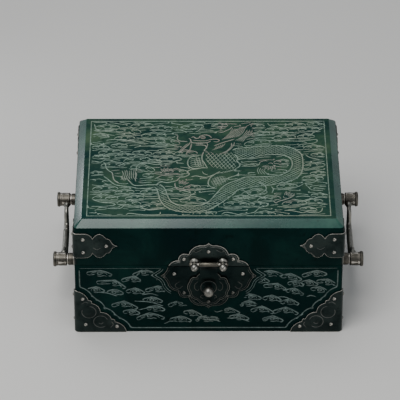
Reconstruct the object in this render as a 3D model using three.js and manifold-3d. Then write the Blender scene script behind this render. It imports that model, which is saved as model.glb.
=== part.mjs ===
// A hinged box of spinach-green jade, engraved with a dragon among clouds, with dark brass mounts.
// Millimetres, +Z up. The origin is the centre of the underside, and the front faces -Y.
import * as THREE from "three";
import { mergeVertices } from "three/addons/utils/BufferGeometryUtils.js";
import Module from "manifold-3d";

const wasm = await Module();
wasm.setup();

// Box of jade
const boxWidth = 240;
const boxDepth = 180;
const bodyHeight = 73;
const lidSideHeight = 39.7;
const seamGap = 0.3;
const bevelRun = 7;
const bevelRise = 6;
const cornerRadius = 3;
const topCornerRadius = 0.8;
const wall = 9;
const baseThickness = 10;
const lidThickness = 10;
const cavityCornerRadius = 4;
const cornerSteps = 3;

// Engraved lines
const lineWidth = 1.3;
const lineDepth = 0.5;
const topMargin = 4.6;
const panelMargin = 4.4;
const panelTopMargin = 3;
const cloudWidth = 19;
const cloudHeight = 4.2;
const dragonNeck = 19;
const dragonTail = 5;
const dragonClawLength = 11;
const dragonHead = 20;
const dragonSteps = 24;

// Metal fittings
const seatGap = 0.3;
const plateThickness = 1;
const lobeStep = 7;
const rivetRadius = 1.9;
const rivetHeight = 1.3;
const rivetSides = 5;
const roundSides = 10;
const lidBracketLeg = 39;
const lidBracketHeight = 26;
const lidBracketDrop = 4.8;
const lidRivetFromEdge = 8.3;
const lidRivetSpread = 6.9;
const lidRivetFromEnd = 10;
const bodyBracketLeg = 46;
const bodyRivetFromEdge = 6.8;
const bodyRivetFromEnd = 8.7;
const bodyRivetInCorner = 9;
const lockHalfWidth = 43;
const lockHalfHeight = 36;
const lockCentreBelowSeam = 10.4;

// Hasp on the front
const haspPostSpacing = 25.6;
const haspAxisAboveSeam = 5.2;
const haspPostReach = 8.6;
const haspPostFlangeRadius = 4.2;
const haspPostNeckRadius = 2.8;
const haspAxisReach = 3.9;
const haspBallRadius = 3.7;
const haspRodRadius = 1.2;
const haspRodOverhang = 1.6;
const haspBarrelRadius = 2.2;
const haspBarrelLength = 17.4;
const haspNeckWidth = 16;
const flapRadius = 18.2;
const flapThickness = 1.6;
const flapLift = 0.6;
const flapDrop = 26.6;
const knobRadius = 4.8;
const knobNeckRadius = 2.4;
const knobNeckLength = 2.6;
const knobShankRadius = 1.6;
const runningGap = 0.3;

// Side handles
const handlePostSpacing = 97;
const handleBelowSeam = 21.5;
const postFlangeRadius = 7;
const postBarrelRadius = 6.2;
const postCollarRadius = 5.6;
const postGrooveRadius = 4.8;
const postBaseLength = 1.6;
const postCollarLength = 5.6;
const postGrooveLength = 1;
const postBarrelLength = 9.6;
const postHeadLength = 2.8;
const bailRadius = 2.6;
const bailGripRadius = 3;
const bailPinRadius = 1.6;
const bailPinLength = 4;
const bailBallRadius = 3;
const bailDrop = 15.6;
const bailBend = 5;
const bailPivotOut = 11.5;
const bailSides = 6;

// Back hinges
const hingeSpacing = 130;
const hingeLeafWidth = 36;
const hingeLeafHeight = 24;
const hingeLeafThickness = 1.2;
const hingeKnuckleRadius = 3;
const hingePinRadius = 1.3;
const hingePinHeadRadius = 2.2;
const hingeKnuckles = 3;

const frontY = -boxDepth / 2;
const backY = boxDepth / 2;
const sideX = boxWidth / 2;
const lidBottom = bodyHeight + seamGap;
const lidSideTop = lidBottom + lidSideHeight;
const lidTop = lidSideTop + bevelRise;
const seamZ = bodyHeight + seamGap / 2;
const plateFace = seatGap + plateThickness;

const jade = new THREE.MeshStandardMaterial({ name: "jade", color: 0x1d4a3c, roughness: 0.28, metalness: 0 });
const brass = new THREE.MeshStandardMaterial({
  name: "dark brass", color: 0x4a3f33, roughness: 0.38, metalness: 1,
});

const box = new THREE.Group();

// Closed solids

function solid(geometry) {
  const positions = new THREE.BufferGeometry();
  const source = geometry.index ? geometry.toNonIndexed() : geometry;
  positions.setAttribute("position", source.getAttribute("position").clone());
  const merged = mergeVertices(positions, 1e-4);
  return new wasm.Manifold(
    new wasm.Mesh({
      numProp: 3,
      vertProperties: merged.attributes.position.array,
      triVerts: new Uint32Array(merged.index.array),
    }),
  );
}

function geometryOf(manifold) {
  const mesh = manifold.getMesh();
  const geometry = new THREE.BufferGeometry();
  geometry.setAttribute("position", new THREE.BufferAttribute(new Float32Array(mesh.vertProperties), 3));
  geometry.setIndex(new THREE.BufferAttribute(new Uint32Array(mesh.triVerts), 1));
  const flat = geometry.toNonIndexed();
  flat.computeVertexNormals();
  return flat;
}

function join(solids) {
  return solids.reduce((whole, next) => whole.add(next));
}

function cutAll(whole, cutters) {
  return cutters.length ? whole.subtract(join(cutters)) : whole;
}

function piece(name, shape, material, parent = box) {
  const geometry = shape.isBufferGeometry ? shape : geometryOf(shape);
  const mesh = new THREE.Mesh(geometry, material);
  mesh.name = name;
  parent.add(mesh);
  return mesh;
}

// Plane outlines

function roundedRing(width, depth, radius, z) {
  const points = [];
  const centres = [[1, 1], [-1, 1], [-1, -1], [1, -1]];
  centres.forEach(([sx, sy], corner) => {
    for (let i = 0; i <= cornerSteps; i += 1) {
      const angle = ((corner + i / cornerSteps) * Math.PI) / 2;
      points.push(new THREE.Vector3(
        sx * (width / 2 - radius) + radius * Math.cos(angle),
        sy * (depth / 2 - radius) + radius * Math.sin(angle),
        z,
      ));
    }
  });
  return points;
}

// A solid through convex rings of equally many points, each above the last.
function loft(rings) {
  const count = rings[0].length;
  const positions = [];
  const put = (...points) => points.forEach((p) => positions.push(p.x, p.y, p.z));
  for (let i = 1; i < count - 1; i += 1) {
    put(rings[0][0], rings[0][i + 1], rings[0][i]);
    const top = rings[rings.length - 1];
    put(top[0], top[i], top[i + 1]);
  }
  for (let r = 0; r + 1 < rings.length; r += 1) {
    for (let i = 0; i < count; i += 1) {
      const j = (i + 1) % count;
      const [a, b, c, d] = [rings[r][i], rings[r][j], rings[r + 1][j], rings[r + 1][i]];
      put(a, b, c, a, c, d);
    }
  }
  const geometry = new THREE.BufferGeometry();
  geometry.setAttribute("position", new THREE.Float32BufferAttribute(positions, 3));
  return geometry;
}

// Points along arcs that run from cusp to cusp. A positive bulge swells to the right of the way along.
function scallops(cusps) {
  const points = [new THREE.Vector2(cusps[0][0], cusps[0][1])];
  for (let k = 1; k < cusps.length; k += 1) {
    const start = new THREE.Vector2(cusps[k - 1][0], cusps[k - 1][1]);
    const end = new THREE.Vector2(cusps[k][0], cusps[k][1]);
    const bulge = cusps[k][2] || 0;
    const chord = end.clone().sub(start);
    const pieces = bulge ? Math.max(2, Math.round(chord.length() / lobeStep)) : 1;
    const out = new THREE.Vector2(chord.y, -chord.x).multiplyScalar(bulge);
    for (let i = 1; i <= pieces; i += 1) {
      const t = i / pieces;
      points.push(start.clone().addScaledVector(chord, t).addScaledVector(out, 4 * t * (1 - t)));
    }
  }
  return points;
}

function scaled(cusps, width, height) {
  return cusps.map(([x, y, bulge]) => [x * width, y * height, bulge]);
}

// The same way back along a mirror line, so that a half outline becomes a whole one.
function mirrored(points, mirror) {
  return points.slice(0, -1).reverse().map(mirror);
}

// A line moved to its left by a distance, corner by corner.
function offsetLine(points, distance) {
  return points.map((point, i) => {
    const before = points[Math.max(0, i - 1)];
    const after = points[Math.min(points.length - 1, i + 1)];
    const along = after.clone().sub(before).normalize();
    return new THREE.Vector2(point.x - along.y * distance, point.y + along.x * distance);
  });
}

function extruded(points, low, high) {
  const shape = new THREE.Shape(points);
  return new THREE.ExtrudeGeometry(shape, { depth: high - low, bevelEnabled: false }).translate(0, 0, low);
}

// Turns a solid drawn in X and Y, rising in +Z, so that it is drawn in X and Z and rises towards -Y.
function facingFront(geometry) {
  return geometry.rotateX(Math.PI / 2);
}

// Cusps of the outlines, as shares of each plate's own size
const lidBracketCusps = [
  [0, 1], [0.26, 1, 0], [0.43, 0.6, -0.16], [0.74, 0.62, -0.4], [0.86, 0.33, -0.16], [1, 0, 0.12],
];
const bodyBracketCusps = [[0, 1], [0.26, 0.775, -0.16], [0.325, 0.705, -0.3], [0.49, 0.49, -0.18]];
const lockCusps = [
  [0, 1], [0.093, 0.917, 0.1], [0.418, 0.653, -0.2], [0.636, 0.47, -0.3], [0.85, 0.26, -0.16], [1, 0, 0.1],
];
const flapCusps = [
  [0.6, 0.61, -0.1], [0.95, 0.33, -0.25], [0.95, -0.3, -0.16], [0.57, -0.75, -0.2], [0, -1.02, -0.2],
];
const leafCusps = [[0.5, 0], [0.5, 0.34, 0], [0.4, 0.55, -0.3], [0.2, 0.72, -0.3], [0, 1, 0.08]];

function lidBracketOutline() {
  const upper = scallops(scaled(lidBracketCusps, lidBracketLeg, lidBracketHeight / 2));
  return [...upper, ...mirrored(upper, (p) => new THREE.Vector2(p.x, -p.y))].reverse();
}

function bodyBracketEdge() {
  const upper = scallops(scaled(bodyBracketCusps, bodyBracketLeg, bodyBracketLeg));
  return [...upper, ...mirrored(upper, (p) => new THREE.Vector2(p.y, p.x))];
}

function lockQuarter() {
  return scallops(scaled(lockCusps, lockHalfWidth, lockHalfHeight));
}

function lockOutline() {
  const right = lockQuarter();
  const lowerRight = mirrored(right, (p) => new THREE.Vector2(p.x, -p.y));
  const half = [...right, ...lowerRight];
  return [...half, ...mirrored(half, (p) => new THREE.Vector2(-p.x, p.y)).slice(0, -1)].reverse();
}

// Rivets: low domes with few sides, one with the plate that they hold

function rivet(radius = rivetRadius, height = rivetHeight) {
  const sunk = plateThickness / 2;
  const profile = [[0, -sunk], [radius, -sunk], [radius * 0.8, height * 0.6], [0, height]];
  const points = profile.map(([x, y]) => new THREE.Vector2(x, y));
  return new THREE.LatheGeometry(points, rivetSides).rotateX(Math.PI / 2);
}

// A rivet on the front plates at x and z, or on the side plates at y and z.
function frontRivet(x, z, faceY) {
  return solid(rivet().rotateX(Math.PI / 2).translate(x, faceY, z));
}

function sideRivet(y, z, faceX) {
  return solid(rivet().rotateY(Math.PI / 2).translate(faceX, y, z));
}

// A ring of plate round the box, of the jade's own outline, from which the corner brackets are cut.
function plateRing(low, high) {
  const grown = (gap, z) => roundedRing(boxWidth + 2 * gap, boxDepth + 2 * gap, cornerRadius + gap, z);
  const outer = solid(loft([grown(plateFace, low), grown(plateFace, high)]));
  const inner = solid(loft([grown(seatGap, low - 1), grown(seatGap, high + 1)]));
  return outer.subtract(inner);
}

// A bracket for the front right corner: one outline on the front and on the side, folded at the corner.
function cornerBracket(outline, centreZ, rivets) {
  const reach = plateFace + cornerRadius;
  const heights = outline.map((p) => p.y + centreZ);
  const onFront = outline.map((p) => new THREE.Vector2(sideX - p.x, p.y)).reverse();
  const front = facingFront(extruded(onFront, -reach, reach)).translate(0, frontY, centreZ);
  const [low, high] = [Math.min(...heights), Math.max(...heights)];
  const frontEdge = new THREE.BoxGeometry(reach, 2 * reach, high - low)
    .translate(sideX + reach / 2, frontY, (high + low) / 2);
  const side = extruded(outline, -reach, reach)
    .rotateX(Math.PI / 2)
    .rotateZ(Math.PI / 2)
    .translate(sideX, frontY, centreZ);
  const legs = solid(front).add(solid(side)).add(solid(frontEdge));
  const heads = rivets.flatMap(([u, v]) => [
    frontRivet(sideX - u, centreZ + v, frontY - plateFace),
    sideRivet(frontY + u, centreZ + v, sideX + plateFace),
  ]);
  return join([plateRing(low - 1, high + 1).intersect(legs), ...heads]);
}

// Four copies of a bracket, one at each corner. Mirroring turns one into the next.
function atCorners(prefix, shape) {
  const geometry = geometryOf(shape);
  const corners = { front_right: [1, 1], front_left: [-1, 1], back_right: [1, -1], back_left: [-1, -1] };
  Object.entries(corners).forEach(([corner, [sx, sy]]) => {
    piece(`${prefix}_${corner}`, geometry.clone(), brass).scale.set(sx, sy, 1);
  });
}

function lidBrackets() {
  const centreZ = lidSideTop - lidBracketDrop - lidBracketHeight / 2;
  const rivets = [
    [lidRivetFromEdge, lidRivetSpread], [lidRivetFromEdge, -lidRivetSpread],
    [lidBracketLeg - lidRivetFromEnd, 0],
  ];
  atCorners("lid_bracket", cornerBracket(lidBracketOutline(), centreZ, rivets));
}

function bodyBrackets() {
  const edge = bodyBracketEdge();
  const outline = [new THREE.Vector2(0, seatGap), new THREE.Vector2(edge[edge.length - 1].x, seatGap)];
  const inside = edge.slice(0, -1).reverse();
  const far = bodyBracketLeg - bodyRivetFromEnd;
  const rivets = [[bodyRivetFromEdge, far], [far, bodyRivetFromEdge], [bodyRivetInCorner, bodyRivetInCorner]];
  atCorners("body_bracket", cornerBracket([...outline, ...inside], 0, rivets));
}

// Rivets of the lock plate above and below the seam, as shares of its half width and half height
const lockRivets = {
  above: [[0, 0.73], [0.51, 0.51], [-0.51, 0.51]],
  below: [[0.715, 0.07], [-0.715, 0.07], [0.51, -0.51], [-0.51, -0.51]],
};

// The lock plate, cut in two at the seam
function lockPlates() {
  const centreZ = bodyHeight - lockCentreBelowSeam;
  const plate = solid(facingFront(extruded(lockOutline(), seatGap, plateFace)).translate(0, frontY, centreZ));
  const reach = 2 * (lockHalfWidth + lockHalfHeight);
  const half = (z) => solid(new THREE.BoxGeometry(reach, reach, reach).translate(0, frontY, z));
  const above = half(lidBottom + reach / 2);
  const below = half(bodyHeight - reach / 2);
  const head = ([u, v]) => frontRivet(u * lockHalfWidth, centreZ + v * lockHalfHeight, frontY - plateFace);
  const upper = lockRivets.above.map(head);
  const lower = lockRivets.below.map(head);
  piece("lock_plate_upper", join([plate.intersect(above), ...upper]), brass);
  piece("lock_plate_lower", join([plate.intersect(below), ...lower]), brass);
}

// A turned piece: a profile of [radius, distance along] on the X axis, from left to right.
function turnedAlongX(profile, sides) {
  const points = profile.map(([r, x]) => new THREE.Vector2(r, x));
  return new THREE.LatheGeometry(points, sides).rotateZ(-Math.PI / 2);
}

function ballProfile(radius, centre, start, steps = 3) {
  const points = [];
  const first = Math.asin(start / radius);
  for (let i = 0; i <= steps; i += 1) {
    const angle = first + ((Math.PI - first) * i) / steps;
    points.push([radius * Math.sin(angle), centre - radius * Math.cos(angle)]);
  }
  points[steps][0] = 0;
  return points;
}

function cylinderAlongX(radius, length, sides) {
  return new THREE.CylinderGeometry(radius, radius, length, sides).rotateZ(Math.PI / 2);
}

const haspAxisZ = bodyHeight + haspAxisAboveSeam;
const haspPostBase = frontY - plateFace - seatGap;
const haspAxisY = haspPostBase - haspAxisReach;

// Hasp posts stand out from the upper lock plate, and a rod runs through their necks, behind the balls.
function haspPosts() {
  const profile = [
    [0, 0], [haspPostFlangeRadius, 0], [haspPostFlangeRadius * 0.85, 1.1], [haspPostNeckRadius, 1.9],
    ...ballProfile(haspBallRadius, haspPostReach, haspPostNeckRadius),
  ];
  const hole = solid(cylinderAlongX(haspRodRadius + runningGap, 4 * haspPostNeckRadius, 6)
    .translate(0, -haspAxisReach, 0));
  const post = solid(turnedAlongX(profile, roundSides).rotateZ(-Math.PI / 2)).subtract(hole);
  const geometry = geometryOf(post);
  [["left", -1], ["right", 1]].forEach(([side, s]) => {
    const mesh = piece(`hasp_post_${side}`, geometry.clone(), brass);
    mesh.position.set((s * haspPostSpacing) / 2, haspPostBase, haspAxisZ);
  });
}

function haspRod() {
  const rim = haspRodRadius * 1.5;
  const start = haspPostSpacing / 2 + haspPostNeckRadius + runningGap;
  const half = start + haspRodOverhang;
  const profile = [
    [0, -half], [rim, -half + 0.5], [rim, -start], [haspRodRadius, -start],
    [haspRodRadius, start], [rim, start], [rim, half - 0.5], [0, half],
  ];
  piece("hasp_rod", turnedAlongX(profile, 6), brass).position.set(0, haspAxisY, haspAxisZ);
}

// The flap hangs from a barrel on the rod, and its neck swings back to lie over the lower lock plate.
function haspFlap() {
  const backFace = frontY - plateFace - flapLift;
  const frontFace = backFace - flapThickness;
  const centreZ = haspAxisZ - flapDrop;
  const half = haspNeckWidth / 2;
  const barrel = cylinderAlongX(haspBarrelRadius, haspBarrelLength, roundSides)
    .translate(0, haspAxisY, haspAxisZ);
  const bore = cylinderAlongX(haspRodRadius + runningGap, 2 * haspBarrelLength, 6)
    .translate(0, haspAxisY, haspAxisZ);
  const neckTop = haspAxisZ - haspBarrelRadius * 0.6;
  const neckBottom = centreZ + flapRadius * 0.8;
  const step = haspBarrelRadius * 0.7;
  const neckCurve = [
    [haspAxisY - step, neckTop], [(haspAxisY - step + frontFace) / 2, neckTop - 2 * step],
    [frontFace, neckTop - 4 * step], [frontFace, neckBottom - step], [backFace, neckBottom - step],
    [backFace, neckTop - 4 * step], [(haspAxisY + step + backFace) / 2, neckTop - 2 * step],
    [haspAxisY + step, neckTop],
  ];
  const neck = extruded(neckCurve.map(([y, z]) => new THREE.Vector2(y, z)), -half, half)
    .rotateX(Math.PI / 2)
    .rotateZ(Math.PI / 2);
  const start = [half / flapRadius, 0.82];
  const right = scallops(scaled([start, ...flapCusps], flapRadius, flapRadius));
  const outline = [...right, ...mirrored(right, (p) => new THREE.Vector2(-p.x, p.y))].reverse();
  const plate = facingFront(extruded(outline, -backFace, -frontFace)).translate(0, 0, centreZ);
  const shankHole = knobShankRadius + runningGap;
  const hole = new THREE.CylinderGeometry(shankHole, shankHole, 8 * flapThickness, roundSides)
    .translate(0, frontFace, centreZ);
  const boss = rivet(rivetRadius * 0.8)
    .rotateX(Math.PI / 2)
    .translate(0, frontFace, centreZ - flapRadius * 0.86);
  const whole = join([solid(barrel), solid(neck), solid(plate), solid(boss)]);
  piece("hasp_flap", cutAll(whole, [solid(bore), solid(hole)]), brass);
  const neckEnd = seatGap + knobNeckLength;
  const profile = [
    [0, -flapThickness], [knobShankRadius, -flapThickness], [knobShankRadius, seatGap],
    [knobNeckRadius * 1.7, seatGap], [knobNeckRadius * 1.5, seatGap + knobNeckLength * 0.35],
    [knobNeckRadius, neckEnd],
    ...ballProfile(knobRadius, neckEnd + knobRadius * 0.8, knobNeckRadius),
  ];
  const knob = piece("hasp_knob", turnedAlongX(profile, roundSides).rotateZ(-Math.PI / 2), brass);
  knob.position.set(0, frontFace, centreZ);
}

// Handle posts: turned posts on each side of the body, with a socket for the bail's pin.
const handleZ = bodyHeight - handleBelowSeam;

function handlePost() {
  const collarEnd = postBaseLength + postCollarLength;
  const grooveEnd = collarEnd + postGrooveLength;
  const barrelEnd = grooveEnd + postBarrelLength;
  const headEnd = barrelEnd + postHeadLength;
  const profile = [
    [0, 0], [postFlangeRadius, 0], [postCollarRadius, postBaseLength],
    [postCollarRadius, collarEnd], [postGrooveRadius, collarEnd], [postGrooveRadius, grooveEnd],
    [postBarrelRadius, grooveEnd], [postBarrelRadius, barrelEnd], [postFlangeRadius, barrelEnd + 0.5],
    [postFlangeRadius * 0.9, headEnd], [0, headEnd],
  ];
  const socketRadius = bailPinRadius + runningGap;
  const socketDepth = bailPinLength + seatGap;
  const socket = new THREE.CylinderGeometry(socketRadius, socketRadius, 2 * socketDepth, 8)
    .translate(bailPivotOut, postBarrelRadius, 0);
  return solid(turnedAlongX(profile, roundSides)).subtract(solid(socket));
}

// A tube along a path in the plane of Y and Z, with a radius for each point.
function planeTube(path, radii, sides) {
  const rings = path.map((point, i) => {
    const before = path[Math.max(0, i - 1)];
    const after = path[Math.min(path.length - 1, i + 1)];
    const along = after.clone().sub(before).normalize();
    return Array.from({ length: sides }, (_, k) => {
      const angle = (2 * Math.PI * (k + 0.5)) / sides;
      const across = -Math.sin(angle) * radii[i];
      return new THREE.Vector3(
        Math.cos(angle) * radii[i],
        point.x - along.y * across,
        point.y + along.x * across,
      );
    });
  });
  return loft(rings);
}

function bail() {
  const postFace = handlePostSpacing / 2 - postBarrelRadius;
  const pinEnd = postFace + bailPinLength;
  const ballCentre = postFace - seatGap - bailBallRadius;
  const arm = ballCentre - bailBallRadius - bailBend * 0.4;
  const path = [];
  const radii = [];
  const add = (y, z, radius) => {
    path.push(new THREE.Vector2(y, z));
    radii.push(radius);
  };
  const bend = (y, z, start, turn, radius) => {
    for (let i = 0; i <= 2; i += 1) {
      const angle = start + (turn * i) / 2;
      add(y + bailBend * Math.cos(angle), z + bailBend * Math.sin(angle), radius);
    }
  };
  add(pinEnd, 0, bailPinRadius);
  add(postFace - seatGap * 0.5, 0, bailPinRadius);
  add(ballCentre + bailBallRadius * 0.75, 0, bailBallRadius * 0.72);
  add(ballCentre, 0, bailBallRadius);
  add(ballCentre - bailBallRadius * 0.8, 0, bailBallRadius * 0.7);
  bend(arm, -bailBend, Math.PI / 2, Math.PI / 2, bailRadius * 0.85);
  const gripCentre = arm - 2 * bailBend;
  bend(gripCentre, bailBend - bailDrop, 0, -Math.PI / 2, bailRadius);
  add(gripCentre * 0.5, -bailDrop - 0.4, bailGripRadius);
  const count = path.length;
  for (let i = count - 1; i >= 0; i -= 1) add(-path[i].x, path[i].y, radii[i]);
  return planeTube(path, radii, bailSides);
}

function handles() {
  const post = geometryOf(handlePost());
  const bailGeometry = bail();
  [["right", 1], ["left", -1]].forEach(([side, s]) => {
    const handle = new THREE.Group();
    handle.position.set(s * (sideX + seatGap), 0, handleZ);
    handle.scale.x = s;
    box.add(handle);
    const posts = { front: [-handlePostSpacing / 2, 1], back: [handlePostSpacing / 2, -1] };
    Object.entries(posts).forEach(([end, [y, sy]]) => {
      const mesh = piece(`handle_post_${side}_${end}`, post.clone(), brass, handle);
      mesh.position.y = y;
      mesh.scale.y = sy;
    });
    piece(`handle_bail_${side}`, bailGeometry.clone(), brass, handle).position.x = bailPivotOut;
  });
}

// Back hinges: a leaf on the lid and one on the body, with knuckles in turn on one pin.
const hingeAxisY = backY + seatGap + hingeKnuckleRadius + 0.2;

function hingeLeaf(up) {
  const s = up ? 1 : -1;
  const right = scallops(scaled(leafCusps, hingeLeafWidth, hingeLeafHeight));
  const half = [...right, ...mirrored(right, (p) => new THREE.Vector2(-p.x, p.y))];
  const outline = half.map((p) => new THREE.Vector2(p.x, s * p.y));
  if (!up) outline.reverse();
  const leaf = extruded(outline, 0, hingeLeafThickness)
    .rotateX(Math.PI / 2)
    .translate(0, backY + seatGap + hingeLeafThickness, seamZ);
  const knuckle = hingeLeafWidth / hingeKnuckles;
  const middle = (k) => (k - (hingeKnuckles - 1) / 2) * knuckle;
  const isUp = (k) => k % 2 === 1;
  const barrels = [];
  const notches = [];
  for (let k = 0; k < hingeKnuckles; k += 1) {
    const own = isUp(k) === up;
    const radius = hingeKnuckleRadius + (own ? 0 : seatGap);
    const length = knuckle + (own ? -seatGap : seatGap);
    const barrel = solid(cylinderAlongX(radius, length, roundSides).translate(middle(k), hingeAxisY, seamZ));
    (own ? barrels : notches).push(barrel);
    if (own) continue;
    const slot = new THREE.BoxGeometry(length, 4 * hingeLeafThickness, 2 * radius)
      .translate(middle(k), backY + seatGap, seamZ);
    notches.push(solid(slot));
  }
  const farSide = new THREE.BoxGeometry(2 * hingeLeafWidth, 4 * hingeLeafThickness, hingeLeafHeight)
    .translate(0, backY + seatGap, seamZ - s * (hingeLeafHeight / 2 - seamGap));
  const bore = cylinderAlongX(hingePinRadius + runningGap, 2 * hingeLeafWidth, 6)
    .translate(0, hingeAxisY, seamZ);
  const leafSolid = cutAll(solid(leaf), [solid(farSide)]);
  const heads = [[0.3, 0.4], [-0.3, 0.4]].map(([x, z]) =>
    solid(rivet().rotateX(-Math.PI / 2).translate(
      x * hingeLeafWidth,
      backY + seatGap + hingeLeafThickness,
      seamZ + s * z * hingeLeafHeight,
    )));
  return cutAll(join([leafSolid, ...barrels, ...heads]), [...notches, solid(bore)]);
}

function hinges() {
  const lidLeaf = geometryOf(hingeLeaf(true));
  const bodyLeaf = geometryOf(hingeLeaf(false));
  const half = hingeLeafWidth / 2;
  const head = half + runningGap;
  const end = head + hingePinHeadRadius;
  const profile = [
    [0, -end], [hingePinHeadRadius, -head - 0.9], [hingePinHeadRadius, -head],
    [hingePinRadius, -head], [hingePinRadius, head], [hingePinHeadRadius, head],
    [hingePinHeadRadius, head + 0.9], [0, end],
  ];
  [["left", -1], ["right", 1]].forEach(([side, s]) => {
    const hinge = new THREE.Group();
    hinge.position.x = (s * hingeSpacing) / 2;
    box.add(hinge);
    piece(`hinge_leaf_lid_${side}`, lidLeaf.clone(), brass, hinge);
    piece(`hinge_leaf_body_${side}`, bodyLeaf.clone(), brass, hinge);
    piece(`hinge_pin_${side}`, turnedAlongX(profile, 6), brass, hinge).position.set(0, hingeAxisY, seamZ);
  });
}

// Engraving

// A cutter for one V-shaped stroke, drawn in X and Y, which runs out to a point at both ends.
function stroke(points, width = lineWidth, depth = lineDepth) {
  const last = points.length - 1;
  const section = (i) => {
    if (i === 0 || i === last) return [new THREE.Vector3(points[i].x, points[i].y, depth * 0.3)];
    const along = points[i + 1].clone().sub(points[i - 1]).normalize();
    return [[0, -depth], [width, depth], [-width, depth]].map(([side, z]) =>
      new THREE.Vector3(points[i].x + along.y * side, points[i].y - along.x * side, z));
  };
  const positions = [];
  const put = (...corners) => corners.forEach((p) => positions.push(p.x, p.y, p.z));
  for (let i = 0; i < last; i += 1) {
    const [a, b] = [section(i), section(i + 1)];
    for (let k = 0; k < 3; k += 1) {
      const n = (k + 1) % 3;
      if (a.length === 1) put(a[0], b[k], b[n]);
      else if (b.length === 1) put(a[k], b[0], a[n]);
      else put(a[k], b[k], b[n], a[k], b[n], a[n]);
    }
  }
  const geometry = new THREE.BufferGeometry();
  geometry.setAttribute("position", new THREE.Float32BufferAttribute(positions, 3));
  return geometry;
}

// A closed V-shaped line round a panel, as four strokes that cross at the corners.
function borderStrokes(points) {
  return points.map((point, i) => {
    const next = points[(i + 1) % points.length];
    const along = next.clone().sub(point).normalize().multiplyScalar(lineWidth);
    return stroke([
      point.clone().sub(along), point.clone().addScaledVector(along, 0.4),
      next.clone().addScaledVector(along, -0.4), next.clone().add(along),
    ]);
  });
}

function rectangle(halfWidth, halfHeight, centreY = 0) {
  return [[-1, -1], [1, -1], [1, 1], [-1, 1]].map(([sx, sy]) =>
    new THREE.Vector2(sx * halfWidth, centreY + sy * halfHeight));
}

// A cloud: a long pointed cap whose front end curls under into an eye. Hand is 1 or -1.
function cloudStroke(x, y, hand, tilt = 0) {
  const line = [[0.5, -0.2], [0.3, 0.26], [0, 0.6], [-0.3, 0.3], [-0.18, -0.36], [0.08, -0.2]];
  return stroke(line.map(([u, v]) => new THREE.Vector2(hand * u * cloudWidth, v * cloudHeight)
    .rotateAround(new THREE.Vector2(), tilt)
    .add(new THREE.Vector2(x, y))));
}

// Cutters drawn on a face, laid on it. A face is given by its turn about Z and its distance from the centre.
function onFace(strokes, turn, distance) {
  const cutters = strokes.map((geometry) => solid(geometry
    .rotateX(Math.PI / 2)
    .translate(0, -distance, 0)
    .rotateZ(turn)));
  return join(cutters);
}

function onTop(strokes) {
  return join(strokes.map((geometry) => solid(geometry.translate(0, 0, lidTop))));
}

// The front panel's border keeps clear of the lower brackets by following their scallops.
function frontBorder(halfWidth) {
  const top = bodyHeight - panelTopMargin;
  const bottom = panelMargin;
  const side = halfWidth - panelMargin;
  const upper = scaled(bodyBracketCusps, bodyBracketLeg, bodyBracketLeg)
    .map(([x, y]) => new THREE.Vector2(x, y));
  const corner = [...upper, ...mirrored(upper, (p) => new THREE.Vector2(p.y, p.x))];
  const inner = offsetLine(corner, panelMargin * 1.3)
    .map((p) => new THREE.Vector2(halfWidth - p.x, p.y))
    .filter((p) => p.x < side - 1 && p.y > bottom + 1);
  const right = [
    new THREE.Vector2(side, top),
    new THREE.Vector2(side, bodyBracketLeg + panelMargin * 1.2),
    ...inner,
    new THREE.Vector2(halfWidth - bodyBracketLeg - panelMargin * 1.2, bottom),
  ];
  const left = right.map((p) => new THREE.Vector2(-p.x, p.y)).reverse();
  const long = (a, b) => [a, a.clone().lerp(b, 0.02), a.clone().lerp(b, 0.98), b];
  return [
    stroke(right),
    stroke(left),
    stroke(long(right[right.length - 1], left[0])),
    stroke(long(left[left.length - 1], right[0])),
  ];
}

// Rows of clouds across a panel, every second row set between the others.
function cloudRows(halfWidth, rows, columns, isFree) {
  const strokes = [];
  const low = panelMargin * 2.6;
  const high = bodyHeight - panelTopMargin * 3.2;
  for (let r = 0; r < rows; r += 1) {
    const y = low + ((high - low) * r) / (rows - 1);
    for (let c = 0; c < columns - (r % 2); c += 1) {
      const x = ((c + (r % 2 ? 1 : 0.5)) / columns - 0.5) * 2 * (halfWidth - panelMargin * 1.4);
      const hand = (r + c) % 2 ? 1 : -1;
      if (isFree(x, y)) strokes.push(cloudStroke(x, y, hand, hand * 0.06));
    }
  }
  return strokes;
}

// Whether a cloud at x and y stays clear of the lower brackets and of the lock plate.
function clearOfBrackets(halfWidth) {
  const reach = bodyBracketLeg + panelMargin + cloudWidth * 0.6;
  return (x, y) => halfWidth - Math.abs(x) + y > reach;
}

function clearOfLock(x, y) {
  const dx = (Math.abs(x) - cloudWidth * 0.5) / lockHalfWidth;
  const dy = (Math.abs(y - bodyHeight + lockCentreBelowSeam) - cloudHeight) / lockHalfHeight;
  return Math.max(dx, 0) + Math.max(dy, 0) > 0.95;
}

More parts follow.
